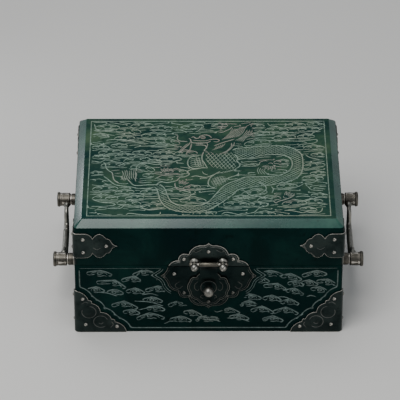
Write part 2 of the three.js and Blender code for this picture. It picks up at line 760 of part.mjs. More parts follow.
// The box and the lid are hollow, with true walls.
function boxBody() {
  const ring = (inset, z) => roundedRing(boxWidth - 2 * inset, boxDepth - 2 * inset, cornerRadius, z);
  const inside = (z) => roundedRing(boxWidth - 2 * wall, boxDepth - 2 * wall, cavityCornerRadius, z);
  const outer = solid(loft([ring(0.6, 0), ring(0, 0.6), ring(0, bodyHeight)]));
  const cavity = solid(loft([inside(baseThickness), inside(bodyHeight + 1)]));
  const frontFree = clearOfBrackets(boxWidth / 2);
  const sideFree = clearOfBrackets(boxDepth / 2);
  const clearInFront = (x, y) => frontFree(x, y) && clearOfLock(x, y);
  const front = [...frontBorder(boxWidth / 2), ...cloudRows(boxWidth / 2, 5, 7, clearInFront)];
  const side = () => [...frontBorder(boxDepth / 2), ...cloudRows(boxDepth / 2, 3, 3, sideFree)];
  const hingeReach = (hingeLeafWidth + cloudWidth) / 2;
  const clearOfHinge = (x, y) => frontFree(x, y) && Math.abs(Math.abs(x) - hingeSpacing / 2) > hingeReach;
  const back = [...frontBorder(boxWidth / 2), ...cloudRows(boxWidth / 2, 3, 3, clearOfHinge)];
  const engraved = [
    onFace(front, 0, boxDepth / 2),
    onFace(side(), Math.PI / 2, boxWidth / 2),
    onFace(side(), -Math.PI / 2, boxWidth / 2),
    onFace(back, Math.PI, boxDepth / 2),
  ];
  piece("box_body", cutAll(outer, [cavity, ...engraved]), jade);
}

function lid() {
  const full = (z) => roundedRing(boxWidth, boxDepth, cornerRadius, z);
  const inside = (z) => roundedRing(boxWidth - 2 * wall, boxDepth - 2 * wall, cavityCornerRadius, z);
  const top = roundedRing(boxWidth - 2 * bevelRun, boxDepth - 2 * bevelRun, topCornerRadius, lidTop);
  const outer = solid(loft([full(lidBottom), full(lidSideTop), top]));
  const cavity = solid(loft([inside(lidBottom - 1), inside(lidTop - lidThickness)]));
  piece("lid", cutAll(outer, [cavity, onTop(topStrokes())]), jade);
}

// Half the width of the dragon's body at a share of the way from neck to tail.
function dragonHalf(t) {
  return (dragonNeck + (dragonTail - dragonNeck) * t ** 1.4) / 2;
}

// A stroke along a run of shares, moved, turned and sized. It serves for the parts of the dragon's figure.
function placed(run, x, y, size, turn, hand = 1) {
  return run.map(([u, v]) => new THREE.Vector2(u * size, hand * v * size)
    .rotateAround(new THREE.Vector2(), turn)
    .add(new THREE.Vector2(x, y)));
}

// The lid's top: a dragon that coils among clouds, inside a border. Places are shares of the panel.
function topStrokes() {
  const halfX = boxWidth / 2 - bevelRun - topMargin;
  const halfY = boxDepth / 2 - bevelRun - topMargin;
  const at = (u, v) => new THREE.Vector2(u * halfX, v * halfY);
  const strokes = borderStrokes(rectangle(halfX, halfY));
  const spine = new THREE.SplineCurve([
    at(0.02, 0.12), at(0.2, 0.24), at(0.41, 0.42), at(0.62, 0.43), at(0.77, 0.24), at(0.75, 0),
    at(0.58, -0.2), at(0.38, -0.3), at(0.2, -0.46), at(0.05, -0.72), at(-0.17, -0.84), at(-0.36, -0.68),
    at(-0.44, -0.44), at(-0.62, -0.37), at(-0.8, -0.2), at(-0.87, 0.06),
  ]);
  const count = dragonSteps;
  const centre = spine.getSpacedPoints(count);
  const edge = (side) => centre.map((p, i) => {
    const along = centre[Math.min(count, i + 1)].clone().sub(centre[Math.max(0, i - 1)]).normalize();
    const reach = side * dragonHalf(i / count);
    return new THREE.Vector2(p.x - along.y * reach, p.y + along.x * reach);
  });
  strokes.push(stroke(edge(1)), stroke(edge(-1)));
  const leg = [[0, 0.5], [0.35, 0.6], [0.62, 0.2], [1, 0.15]];
  const shin = [[0, -0.2], [0.3, 0.1], [0.55, -0.2], [1, -0.15]];
  const claw = [[0, 0], [0.6, 0.22], [1.1, -0.15]];
  const paws = [[-0.06, -0.02, 3.7, 1], [0.52, -0.14, 0.1, -1], [0.1, -0.5, 3, 1], [0.5, -0.34, -0.9, -1]];
  paws.forEach(([u, v, turn, hand]) => {
    const hip = at(u, v);
    const length = dragonClawLength * 2;
    const foot = placed([[1, 0]], hip.x, hip.y, length, turn)[0];
    strokes.push(stroke(placed(leg, hip.x, hip.y, length, turn, hand)));
    strokes.push(stroke(placed(shin, hip.x, hip.y, length, turn, hand)));
    [-0.9, -0.1, 0.7].forEach((spread) => {
      strokes.push(stroke(placed(claw, foot.x, foot.y, dragonClawLength, turn + spread, hand)));
    });
  });
  const head = at(0, 0.62);
  const neck = [[0.3, -0.1], [0.5, -0.6], [0.5, -1.1], [0.9, -1.3]];
  strokes.push(stroke(placed(neck, head.x, head.y, dragonHead, 0)));
  const brow = [
    [0.5, 0.5], [0.2, 0.62], [-0.1, 0.36], [-0.5, 0.42],
    [-0.86, 0.2], [-0.9, -0.1], [-0.5, -0.02], [-0.1, -0.14],
  ];
  const jaw = [[-0.1, -0.2], [-0.42, -0.22], [-0.7, -0.46], [-0.4, -0.62], [0.1, -0.5], [0.4, -0.2]];
  const eye = [[0, 0.14], [0.14, 0.26], [0.3, 0.14], [0.14, 0.06]];
  [brow, jaw, eye].forEach((run) => strokes.push(stroke(placed(run, head.x, head.y, dragonHead, 0))));
  const lock = [[0, 0], [0.4, 0.16], [0.8, 0.02], [1.3, 0.3]];
  const nape = [head.x + dragonHead * 0.5, head.y + dragonHead * 0.1];
  [-0.3, 0.1, 0.5, 0.9].forEach((turn) => {
    strokes.push(stroke(placed(lock, ...nape, dragonHead, turn)));
  });
  const whisker = [[0, 0], [0.5, 0.3], [1, 0], [1.5, 0.2]];
  const snout = [head.x - dragonHead * 0.8, head.y - dragonHead * 0.1];
  [2.9, 3.7].forEach((turn) => {
    strokes.push(stroke(placed(whisker, ...snout, dragonHead, turn)));
  });
  const flame = [[0, 0], [0.5, 0.3], [1, 0.1], [1.4, 0.4]];
  const tail = at(-0.72, -0.36);
  [2.6, 3.2, 3.8].forEach((turn) => {
    strokes.push(stroke(placed(flame, tail.x, tail.y, dragonClawLength, turn)));
  });
  const others = [at(-0.24, -0.1), at(-0.18, -0.5), at(0.7, -0.5), at(0.16, 0.7)];
  const keepOff = [...centre, head, tail, ...others];
  const rows = 6;
  const columns = 7;
  for (let r = 0; r < rows; r += 1) {
    for (let c = 0; c < columns; c += 1) {
      const across = (c + (r % 2 ? 0.85 : 0.4)) / columns - 0.5;
      const spot = at(across * 1.86, ((r + 0.5) / rows - 0.5) * 1.86);
      const near = Math.min(...keepOff.map((p) => p.distanceTo(spot)));
      const hand = (r + c) % 2 ? 1 : -1;
      if (near > (dragonNeck + cloudWidth) * 0.55) strokes.push(cloudStroke(spot.x, spot.y, hand));
    }
  }
  return strokes;
}

boxBody();
lid();
lidBrackets();
bodyBrackets();
lockPlates();
haspPosts();
haspRod();
haspFlap();
handles();
hinges();

export default box;
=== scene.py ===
# A hinged box of spinach-green jade, engraved with a dragon among clouds, with dark brass mounts.
import bmesh
import bpy
import math
import random
import numpy as np
from mathutils import Matrix, Vector
from mathutils.geometry import delaunay_2d_cdt


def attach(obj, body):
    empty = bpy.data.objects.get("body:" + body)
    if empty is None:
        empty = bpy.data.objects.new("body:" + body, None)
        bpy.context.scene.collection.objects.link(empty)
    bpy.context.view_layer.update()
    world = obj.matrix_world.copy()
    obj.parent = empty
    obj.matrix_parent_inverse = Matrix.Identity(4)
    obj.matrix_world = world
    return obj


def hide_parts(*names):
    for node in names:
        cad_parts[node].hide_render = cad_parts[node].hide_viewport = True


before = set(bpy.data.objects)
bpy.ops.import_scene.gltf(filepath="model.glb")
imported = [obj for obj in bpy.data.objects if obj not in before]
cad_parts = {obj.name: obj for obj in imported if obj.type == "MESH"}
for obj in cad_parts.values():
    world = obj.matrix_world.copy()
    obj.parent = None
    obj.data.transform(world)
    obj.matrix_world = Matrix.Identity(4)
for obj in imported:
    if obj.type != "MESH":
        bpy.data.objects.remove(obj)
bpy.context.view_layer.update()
MM = 0.001

# Sizes in millimetres, the same as the solids'
W = 240.0
D = 180.0
BODY = 73.0
SEAM = 0.3
LID_SIDE = 39.7
BEVEL_RUN = 7.0
BEVEL_RISE = 6.0
CORNER = 3.0
CORNER_STEPS = 8
WALL = 9.0
BASE = 10.0
LID_THICK = 10.0
SEAT = 0.3
PLATE = 1.0
LID_LOW = BODY + SEAM
LID_EDGE = LID_LOW + LID_SIDE
LID_TOP = LID_EDGE + BEVEL_RISE
FRONT = -D / 2
PANEL_X = W / 2 - BEVEL_RUN - 4.6
PANEL_Y = D / 2 - BEVEL_RUN - 4.6
LOCK_Z = BODY - 10.4
CIRCLE = np.linspace(0, 2 * math.pi, 24, endpoint=False)

# The camera as it was fitted to the box's corners in the photograph
CAMERA_PLACE = (-16.947, -2170.1, 1542.17)
CAMERA_DOWN = math.radians(33.91278284)
CAMERA_YAW = math.radians(0.25208628)
CAMERA_ROLL = math.radians(0.08214943)
FOCAL_PIXELS = 2850.335
PHOTO_PIXELS = 400
SENSOR = 36

# The numbers of the material slots on jade, and of the two that brass has instead
PLAIN, LINE, INSIDE, WARM, EDGE, SIDE = range(6)
RIM, TURNED = 2, 3


# Lines in the plane

def arr(points):
    return np.array(points, float)


def camera_axes():
    """The camera's directions to the right, up and ahead."""
    down, yaw, roll = CAMERA_DOWN, CAMERA_YAW, CAMERA_ROLL
    ahead = arr([math.sin(yaw) * math.cos(down), math.cos(yaw) * math.cos(down), -math.sin(down)])
    level = arr([math.cos(yaw), -math.sin(yaw), 0])
    upright = np.cross(level, ahead)
    right = level * math.cos(roll) + upright * math.sin(roll)
    up = upright * math.cos(roll) - level * math.sin(roll)
    return right, up, ahead


def smooth(points, step=1.0, closed=False):
    """A Catmull-Rom curve through points, at about the given spacing."""
    p = arr(points)
    n = len(p)
    if n < 3 and not closed:
        count = max(1, int(np.hypot(*(p[-1] - p[0])) / step))
        t = np.linspace(0, 1, count + 1)[:, None]
        return p[0] * (1 - t) + p[-1] * t
    out = []
    last = n if closed else n - 1
    for i in range(last):
        if closed:
            a, b, c, d = p[(i - 1) % n], p[i], p[(i + 1) % n], p[(i + 2) % n]
        else:
            b, c = p[i], p[i + 1]
            a = p[i - 1] if i else 2 * b - c
            d = p[i + 2] if i + 2 < n else 2 * c - b
        count = max(1, int(round(np.hypot(*(c - b)) / step)))
        t = (np.arange(count) / count)[:, None]
        out.append(0.5 * ((2 * b) + (c - a) * t + (2 * a - 5 * b + 4 * c - d) * t ** 2
                          + (3 * b - a - 3 * c + d) * t ** 3))
    if not closed:
        out.append(p[-1:])
    return np.vstack(out)


def arc(cx, cy, r, a0, a1, step):
    count = max(3, int(abs(a1 - a0) * r / step))
    t = np.linspace(a0, a1, count + 1)
    return np.column_stack([cx + r * np.cos(t), cy + r * np.sin(t)])


def normals(p):
    """The unit normals to the left of an open line."""
    d = np.gradient(p, axis=0)
    length = np.hypot(d[:, 0], d[:, 1])
    length[length < 1e-9] = 1
    d = d / length[:, None]
    return np.column_stack([-d[:, 1], d[:, 0]])


def inside(p, poly):
    """Whether each of the points is inside the closed polygon."""
    x, y = p[:, 0], p[:, 1]
    hit = np.zeros(len(p), bool)
    q = np.roll(poly, -1, 0)
    for (x0, y0), (x1, y1) in zip(poly, q):
        if y0 == y1:
            continue
        cond = (y0 > y) != (y1 > y)
        hit ^= cond & (x < (x1 - x0) * (y - y0) / (y1 - y0) + x0)
    return hit


def distance_to(p, line):
    """The distance from each point to a closed line."""
    best = np.full(len(p), 1e9)
    for s, e in zip(line, np.roll(line, -1, 0)):
        d = e - s
        ll = max(d @ d, 1e-12)
        t = np.clip(((p - s) @ d) / ll, 0, 1)
        q = s + t[:, None] * d
        best = np.minimum(best, np.hypot(*(p - q).T))
    return best


def runs(ok):
    """The start and the end of each stretch of true values."""
    start = None
    for i, on in enumerate([*ok, False]):
        if on and start is None:
            start = i
        if not on and start is not None:
            yield start, i
            start = None


class Stroke:
    """One engraved line: its points, half its width along the way, and its depth."""

    def __init__(self, points, width, depth, taper):
        p = arr(points)
        keep = np.ones(len(p), bool)
        keep[1:] = np.hypot(*(p[1:] - p[:-1]).T) > 1e-3
        self.p = p[keep]
        run = np.concatenate([[0], np.cumsum(np.hypot(*(self.p[1:] - self.p[:-1]).T))])
        ends = np.minimum(run, run[-1] - run)
        share = np.clip(ends / taper, 0, 1) ** 0.6 if taper else np.ones(len(run))
        self.w = width / 2 * share
        self.depth = depth
        self.width = width


def cells(a, b, pad, cell):
    """The numbers of the cells from a to b, with some room at both ends."""
    return range(int((min(a, b) - pad) // cell), int((max(a, b) + pad) // cell) + 1)


def groove_depths(p, strokes, cell=2.0):
    """How deep the strokes go at each point."""
    table = {}
    segments = []
    for s in strokes:
        for i in range(len(s.p) - 1):
            a, b = s.p[i], s.p[i + 1]
            k = len(segments)
            segments.append((a[0], a[1], b[0], b[1], s.w[i], s.w[i + 1], s.depth, s.width / 2))
            pad = s.width / 2
            for cx in cells(a[0], b[0], pad, cell):
                for cy in cells(a[1], b[1], pad, cell):
                    table.setdefault((cx, cy), []).append(k)
    out = np.zeros(len(p))
    for n, (x, y) in enumerate(p):
        best = 0.0
        for k in table.get((int(x // cell), int(y // cell)), ()):
            ax, ay, bx, by, wa, wb, depth, full = segments[k]
            dx, dy = bx - ax, by - ay
            ll = dx * dx + dy * dy
            t = 0.0 if ll < 1e-12 else max(0.0, min(1.0, ((x - ax) * dx + (y - ay) * dy) / ll))
            r = math.hypot(x - ax - t * dx, y - ay - t * dy)
            w = wa + (wb - wa) * t
            if w > 1e-4 and r < w:
                v = depth * (w / full) * (1 - r / w)
                if v > best:
                    best = v
        out[n] = best
    return out


def engraved_sheet(outline, strokes):
    """The points, depths and triangles of a sheet inside an outline, cut along the strokes."""
    verts = []
    edges = []

    def chain(p, closed=False):
        start = len(verts)
        verts.extend(map(tuple, p))
        count = len(p)
        for i in range(count - 1):
            edges.append((start + i, start + i + 1))
        if closed:
            edges.append((start + count - 1, start))

    chain(outline, closed=True)
    for s in strokes:
        n = normals(s.p)
        left = s.p + n * s.w[:, None]
        right = s.p - n * s.w[:, None]
        chain(s.p)
        if len(s.p) > 2:
            lo = 1 if s.w[0] < 1e-4 else 0
            hi = len(s.p) - 1 if s.w[-1] < 1e-4 else len(s.p)
            for side in (left, right):
                p = [s.p[0]] if lo else []
                p += list(side[lo:hi])
                p += [s.p[-1]] if hi < len(s.p) else []
                chain(arr(p))
    result = delaunay_2d_cdt([Vector(v) for v in verts], edges, [], 0, 1e-4, False)
    p = arr([tuple(v) for v in result[0]])
    tris = np.array([f for f in result[2] if len(f) == 3], int)
    middle = p[tris].mean(axis=1)
    tris = tris[inside(middle, arr(outline))]
    return p, groove_depths(p, strokes), tris


# Building meshes

class Build:
    """Gathers points and faces with a material number, and makes one object of them."""

    def __init__(self):
        self.v = []
        self.f = []
        self.m = []
        self.s = []

    def add(self, points, faces, material=0, soft=True):
        start = len(self.v)
        self.v.extend(tuple(float(c) for c in p) for p in points)
        for i, f in enumerate(faces):
            self.f.append(tuple(int(k) + start for k in f))
            self.m.append(int(material[i]) if hasattr(material, "__len__") else material)
            self.s.append(soft)

    def object(self, name, materials, merge, sharp):
        mesh = bpy.data.meshes.new(name)
        mesh.from_pydata([tuple(c * MM for c in p) for p in self.v], [], self.f)
        for m in materials:
            mesh.materials.append(m)
        mesh.polygons.foreach_set("material_index", self.m)
        mesh.polygons.foreach_set("use_smooth", self.s)
        mesh.update()
        bm = bmesh.new()
        bm.from_mesh(mesh)
        bmesh.ops.remove_doubles(bm, verts=bm.verts, dist=merge * MM)
        bm.to_mesh(mesh)
        bm.free()
        mesh.set_sharp_from_angle(angle=math.radians(sharp))
        o = bpy.data.objects.new(name, mesh)
        bpy.context.scene.collection.objects.link(o)
        return o


def finish(build, name, body, node, materials, merge=0.002, sharp=35):
    """Makes the object, which rides on a body and stands for a node of the solids."""
    o = build.object(name, materials, merge, sharp)
    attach(o, body)
    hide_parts(node)


def ring(step_in, radius, z):
    """A level rectangle with round corners, stepped in from the box's outline."""
    out = []
    for corner, (sx, sy) in enumerate([(1, 1), (-1, 1), (-1, -1), (1, -1)]):
        for i in range(CORNER_STEPS + 1):
            a = (corner + i / CORNER_STEPS) * math.pi / 2
            out.append((sx * (W / 2 - step_in - radius) + radius * math.cos(a),
                        sy * (D / 2 - step_in - radius) + radius * math.sin(a), z))
    return out


def rings(*levels):
    return [ring(*level) for level in levels]


def loft(build, rows, material, skip=(), cap_low=False, cap_high=False):
    """Faces between closed rows of points, one above the other."""
    n = len(rows[0])
    points = [p for row in rows for p in row]
    faces = []
    for r in range(len(rows) - 1):
        for i in range(n):
            if (r, i) not in skip:
                j = (i + 1) % n
                faces.append((r * n + i, r * n + j, (r + 1) * n + j, (r + 1) * n + i))
    if cap_low:
        faces.append(tuple(range(n))[::-1])
    if cap_high:
        faces.append(tuple((len(rows) - 1) * n + i for i in range(n)))
    build.add(points, faces, material)


def hollow(build, rim, edge, floor, way):
    """The inside, from the rim to the floor or ceiling; way is 1 for up and -1 for down."""
    rows = rings((rim, CORNER, edge), (WALL - 0.4, 4.2, edge), (WALL, 4, edge + 0.4 * way),
                 (WALL, 4, floor - 2.5 * way), (WALL + 0.7, 4, floor - 0.8 * way), (WALL + 2, 4, floor))
    loft(build, rows, INSIDE, cap_high=True)


def lathe(profile, sides):
    """A turned form on the X axis from (radius, along) pairs, with its ends on the axis."""
    pts = []
    faces = []
    rows = []
    for r, x in profile:
        if r < 1e-6:
            rows.append([len(pts)])
            pts.append((x, 0, 0))
        else:
            rows.append(list(range(len(pts), len(pts) + sides)))
            pts.extend((x, r * math.cos(2 * math.pi * k / sides), r * math.sin(2 * math.pi * k / sides))
                       for k in range(sides))
    for a, b in zip(rows, rows[1:]):
        for k in range(sides):
            n = (k + 1) % sides
            if len(a) == 1 and len(b) == 1:
                break
            if len(a) == 1:
                faces.append((a[0], b[k], b[n]))
            elif len(b) == 1:
                faces.append((a[k], b[0], a[n]))
            else:
                faces.append((a[k], b[k], b[n], a[n]))
    return arr(pts), faces


def moved(points, matrix):
    p = np.column_stack([points, np.ones(len(points))])
    return (np.array(matrix) @ p.T).T[:, :3]


def dome(radius, height, sides=20, rows=5):
    """A rivet head that rises along +Z from z = -0.2."""
    profile = [(0, -0.2), (radius, -0.2)]
    angles = np.linspace(0.02, math.pi / 2, rows + 1)[:-1]
    profile += [(radius * math.cos(t), height * math.sin(t)) for t in angles]
    profile += [(0, height)]
    p, f = lathe(profile, sides)
    return p[:, [1, 2, 0]], f


# Outlines from cusps, with arcs between them: the same cusps as the solids'

def scallops(cusps, step=0.6):
    """A line through cusps; the third number of a cusp bulges the arc that ends there."""
    out = [arr([cusps[0][:2]])]
    for a, b in zip(cusps, cusps[1:]):
        p, q = arr(a[:2]), arr(b[:2])
        bulge = b[2] if len(b) > 2 else 0
        chord = q - p
        count = max(3, int(np.hypot(*chord) / step)) if bulge else 1
        t = (np.arange(1, count + 1) / count)[:, None]
        side = arr([chord[1], -chord[0]]) * bulge
        out.append(p + chord * t + side * 4 * t * (1 - t))
    return np.vstack(out)


def scaled(cusps, w, h):
    return [(c[0] * w, c[1] * h, *c[2:]) for c in cusps]


def doubled(half, flip):
    """Half an outline with its mirror image joined to its end."""
    return np.vstack([half, half[:-1][::-1] * arr(flip)])


def counter_clockwise(poly):
    q = np.roll(poly, -1, 0)
    area = 0.5 * np.sum(poly[:, 0] * q[:, 1] - q[:, 0] * poly[:, 1])
    return poly[::-1] if area < 0 else poly


def inset(poly, distance):
    """A closed counter-clockwise outline moved inwards, corner by corner."""
    a = np.roll(poly, 1, 0)
    b = np.roll(poly, -1, 0)
    d1 = poly - a
    d2 = b - poly
    d1 /= np.hypot(*d1.T)[:, None]
    d2 /= np.hypot(*d2.T)[:, None]
    n1 = np.column_stack([-d1[:, 1], d1[:, 0]])
    n2 = np.column_stack([-d2[:, 1], d2[:, 0]])
    n = n1 + n2
    length = np.hypot(*n.T)
    length[length < 0.5] = 0.5
    n = n / length[:, None]
    cos = np.clip((n * n1).sum(axis=1), 0.5, 1)
    return poly + n * (distance / cos)[:, None]


# Cusps on a plane of 1 by 1, and the width and height in millimetres that they are scaled to
LID_BRACKET = [
    (0, 1), (0.26, 1, 0), (0.43, 0.6, -0.16), (0.74, 0.62, -0.4), (0.86, 0.33, -0.16), (1, 0, 0.12),
]
BODY_BRACKET = [(0, 1), (0.26, 0.775, -0.16), (0.325, 0.705, -0.3), (0.49, 0.49, -0.18)]
LOCK = [
    (0, 1), (0.093, 0.917, 0.1), (0.418, 0.653, -0.2), (0.636, 0.47, -0.3), (0.85, 0.26, -0.16),
    (1, 0, 0.1),
]
FLAP = [
    (0.44, 0.82), (0.6, 0.61, -0.1), (0.95, 0.33, -0.25), (0.95, -0.3, -0.16), (0.57, -0.75, -0.2),
    (0, -1.02, -0.2),
]
LEAF = [(0.5, 0), (0.5, 0.34, 0), (0.4, 0.55, -0.3), (0.2, 0.72, -0.3), (0, 1, 0.08)]
LID_BRACKET_SIZE = (39, 13)
BODY_BRACKET_SIZE = (46, 46)
LOCK_SIZE = (43, 36)
FLAP_SIZE = (18.2, 18.2)
LEAF_SIZE = (36, 24)
RIVET_R = 1.75
RIVET_RISE = 1.15


# Materials

def nodes_of(name):
    m = bpy.data.materials.new(name)
    m.use_nodes = True
    tree = m.node_tree
    tree.nodes.clear()
    out = tree.nodes.new("ShaderNodeOutputMaterial")
    shader = tree.nodes.new("ShaderNodeBsdfPrincipled")
    tree.links.new(shader.outputs[0], out.inputs[0])
    return m, tree, shader


def ramp(tree, source, stops):
    r = tree.nodes.new("ShaderNodeValToRGB")
    e = r.color_ramp.elements
    while len(e) < len(stops):
        e.new(0.5)
    for item, (pos, colour) in zip(e, stops):
        item.position = pos
        item.color = (*colour, 1)
    tree.links.new(source, r.inputs[0])
    return r.outputs[0]


def mask(tree, source, low, high, most=1.0):
    """Grey from 0 up to the most, between two values of the source."""
    return ramp(tree, source, [(low, (0, 0, 0)), (high, (most, most, most))])


def times(colour, *factors):
    return tuple(c * f for c, f in zip(colour, factors))


def noise(tree, scale, detail=6, rough=0.55, distortion=0.0, stretch=None, offset=None):
    coord = tree.nodes.new("ShaderNodeTexCoord")
    source = coord.outputs["Object"]
    if stretch or offset:
        mapping = tree.nodes.new("ShaderNodeMapping")
        if stretch:
            mapping.inputs["Scale"].default_value = stretch
        if offset:
            mapping.inputs["Location"].default_value = offset
        tree.links.new(source, mapping.inputs[0])
        source = mapping.outputs[0]
    n = tree.nodes.new("ShaderNodeTexNoise")
    n.inputs["Scale"].default_value = scale
    n.inputs["Detail"].default_value = detail
    n.inputs["Roughness"].default_value = rough
    n.inputs["Distortion"].default_value = distortion
    tree.links.new(source, n.inputs["Vector"])
    return n.outputs[0]


def mix(tree, factor, a, b):
    m = tree.nodes.new("ShaderNodeMix")
    m.data_type = "RGBA"
    for value, socket in ((factor, m.inputs[0]), (a, m.inputs[6]), (b, m.inputs[7])):
        if hasattr(value, "is_linked") or hasattr(value, "links"):
            tree.links.new(value, socket)
        else:
            socket.default_value = value if isinstance(value, float) else (*value, 1)
    return m.outputs[2]


def spread(tree, source, low, high, start=0.0, end=1.0):
    m = tree.nodes.new("ShaderNodeMapRange")
    m.inputs["From Min"].default_value = start
    m.inputs["From Max"].default_value = end
    m.inputs["To Min"].default_value = low
    m.inputs["To Max"].default_value = high
    tree.links.new(source, m.inputs[0])
    return m.outputs[0]


def bump(tree, shader, source, strength, distance):
    b = tree.nodes.new("ShaderNodeBump")
    b.inputs["Strength"].default_value = strength
    b.inputs["Distance"].default_value = distance
    tree.links.new(source, b.inputs["Height"])
    tree.links.new(b.outputs[0], shader.inputs["Normal"])


def jade_material(name, dark, mid, light, roughness=(0.26, 0.4), gloss=0.3, shade=0.0):
    """Mottled jade; shade darkens the front of the lid's top."""
    m, tree, shader = nodes_of(name)
    base = ramp(tree, noise(tree, 19, 9, 0.66, 1.1), [(0.36, dark), (0.5, mid), (0.66, light)])
    patch = mask(tree, noise(tree, 9, 4, 0.5, 0.3, offset=(3.1, 0.4, 0.2)), 0.5, 0.7)
    deep = mix(tree, patch, base, times(dark, 0.4, 0.75, 0.95))
    fleck = mask(tree, noise(tree, 150, 3, 0.6, offset=(0.2, 1.4, 0.7)), 0.62, 0.72, 0.55)
    coloured = mix(tree, fleck, deep, times(dark, 0.35, 0.4, 0.4))
    vein = mask(tree, noise(tree, 42, 9, 0.7, 1.8, stretch=(1, 0.6, 1)), 0.58, 0.68, 0.3)
    colour = mix(tree, vein, coloured, light)
    if shade:
        parts = tree.nodes.new("ShaderNodeSeparateXYZ")
        tree.links.new(tree.nodes.new("ShaderNodeTexCoord").outputs["Object"], parts.inputs[0])
        along = spread(tree, parts.outputs["Y"], shade, 0.0, -0.084, -0.03)
        colour = mix(tree, along, colour, times(dark, 0.6, 1.1, 1.2))
    tree.links.new(colour, shader.inputs["Base Color"])
    tree.links.new(spread(tree, noise(tree, 30, 5), *roughness), shader.inputs["Roughness"])
    shader.inputs["IOR"].default_value = 1.6
    shader.inputs["Specular IOR Level"].default_value = gloss
    bump(tree, shader, noise(tree, 420, 4), 0.05, 0.0002)
    return m


def line_material(name, pale, dull, warm):
    """The pale dust in the engraved lines."""
    m, tree, shader = nodes_of(name)
    worn = ramp(tree, noise(tree, 210, 6, 0.65), [(0.36, dull), (0.56, pale)])
    tint = mask(tree, noise(tree, 14, 3, 0.5, offset=(5, 2, 0)), 0.48, 0.66, 0.8)
    tree.links.new(mix(tree, tint, worn, warm), shader.inputs["Base Color"])
    tree.links.new(spread(tree, noise(tree, 120, 4), 0.5, 0.8), shader.inputs["Roughness"])
    bump(tree, shader, noise(tree, 900, 3), 0.25, 0.0002)
    return m


def brass_material(name, dark, mid, bright, edge, relief=0.14):
    """Dark brass; edge is how bright the worn edges are."""
    m, tree, shader = nodes_of(name)
    stops = [(0.3, dark), (0.55, mid), (0.8, times(mid, 1.5, 1.45, 1.35))]
    patina = ramp(tree, noise(tree, 70, 8, 0.65, 0.4), stops)
    spot = mask(tree, noise(tree, 320, 4, 0.6, offset=(1, 5, 2)), 0.6, 0.74, 0.7)
    spotted = mix(tree, spot, patina, times(dark, 0.45, 0.45, 0.5))
    geometry = tree.nodes.new("ShaderNodeNewGeometry")
    worn = mask(tree, geometry.outputs["Pointiness"], 0.505, 0.56, edge)
    tree.links.new(mix(tree, worn, spotted, bright), shader.inputs["Base Color"])
    tree.links.new(spread(tree, noise(tree, 90, 6), 0.26, 0.52), shader.inputs["Roughness"])
    shader.inputs["Metallic"].default_value = 1.0
    bump(tree, shader, noise(tree, 520, 5), relief, 0.0003)
    return m


JADE_TOP = jade_material("jade_top", (0.0025, 0.026, 0.023), (0.018, 0.056, 0.036), (0.052, 0.098, 0.054),
                         gloss=0.05, shade=0.7)
# A lighter, greener copy of the jade for the lid's bevels: painted highlight, besides the lamps' real
# reflection there
JADE_EDGE_PAINTED_HIGHLIGHT = jade_material("jade_edge_painted_highlight", (0.006, 0.050, 0.040), (0.014, 0.072, 0.056), (0.026, 0.098, 0.072),
                          (0.24, 0.3), 0.42)
# A much darker copy of the same jade for the upright sides of the box and the lid: painted shade
JADE_SIDE_PAINTED_SHADE = jade_material("jade_side_painted_shade", (0.0003, 0.009, 0.008), (0.0006, 0.0120, 0.0110),
                          (0.002, 0.019, 0.016), (0.3, 0.42), 0.03)
JADE_IN = jade_material("jade_inside", (0.004, 0.028, 0.022), (0.010, 0.046, 0.034), (0.022, 0.070, 0.048),
                        (0.35, 0.5))
LINE_TOP = line_material("engraved_gilt_top", (0.22, 0.30, 0.245), (0.085, 0.14, 0.11), (0.25, 0.28, 0.21))
LINE_WARM = line_material("engraved_gilt_warm", (0.25, 0.28, 0.235), (0.11, 0.14, 0.115),
                          (0.27, 0.235, 0.20))
# A darker copy of the line colour for the upright sides: painted shade
LINE_SIDE_PAINTED_SHADE = line_material("engraved_gilt_side_painted_shade", (0.115, 0.160, 0.150), (0.026, 0.052, 0.048),
                          (0.11, 0.14, 0.125))
BRASS = brass_material("brass_plate", (0.008, 0.014, 0.0138), (0.026, 0.037, 0.0355), (0.62, 0.58, 0.52),
                       0.0)
BRASS_BRIGHT = brass_material("brass_turned", (0.040, 0.039, 0.034), (0.125, 0.116, 0.098),
                              (0.66, 0.62, 0.56), 0.9)
BRASS_STUD = brass_material("brass_stud", (0.13, 0.13, 0.12), (0.27, 0.265, 0.24), (0.66, 0.63, 0.58), 0.8,
                            0.04)
# A darker copy of the brass, and a dimmer one for its rims, lines and lower rivets: painted shade on the
# lower parts of the lock
BRASS_PAINTED_SHADE = brass_material("brass_shaded", (0.0028, 0.0068, 0.0070), (0.0095, 0.0170, 0.0168),
                           (0.5, 0.48, 0.43), 0.0)
RIM_PAINTED_SHADE = brass_material("brass_shaded_rim", (0.038, 0.044, 0.042), (0.085, 0.088, 0.081),
                         (0.45, 0.43, 0.38), 0.3, 0.06)
BRASS_LINE = brass_material("brass_incised", (0.08, 0.09, 0.085), (0.16, 0.165, 0.155), (0.45, 0.42, 0.37),
                            0.0)


# What the plates, the lower lock plate, flap and knob in painted shade, the turned pieces and the bright
# pieces are made of: plain, incised, rim
PLATE_BRASS = [BRASS, BRASS_LINE, BRASS_STUD]
PAINTED_SHADE_BRASS = [BRASS_PAINTED_SHADE, RIM_PAINTED_SHADE, RIM_PAINTED_SHADE]
TURNED_BRASS = [BRASS_BRIGHT, BRASS_LINE, BRASS_BRIGHT]
STUD_BRASS = [BRASS_STUD, BRASS_LINE, BRASS_STUD]


# The engraving on the lid, drawn in the panel's own units from its left back corner

UNITS_ACROSS = 1560
UNITS_DEEP = 1000


def top_place(points):
    """From the panel's own units to millimetres."""
    p = arr(points)
    return np.column_stack([(p[:, 0] * 2 / UNITS_ACROSS - 1) * PANEL_X,
                            (1 - p[:, 1] * 2 / UNITS_DEEP) * PANEL_Y])


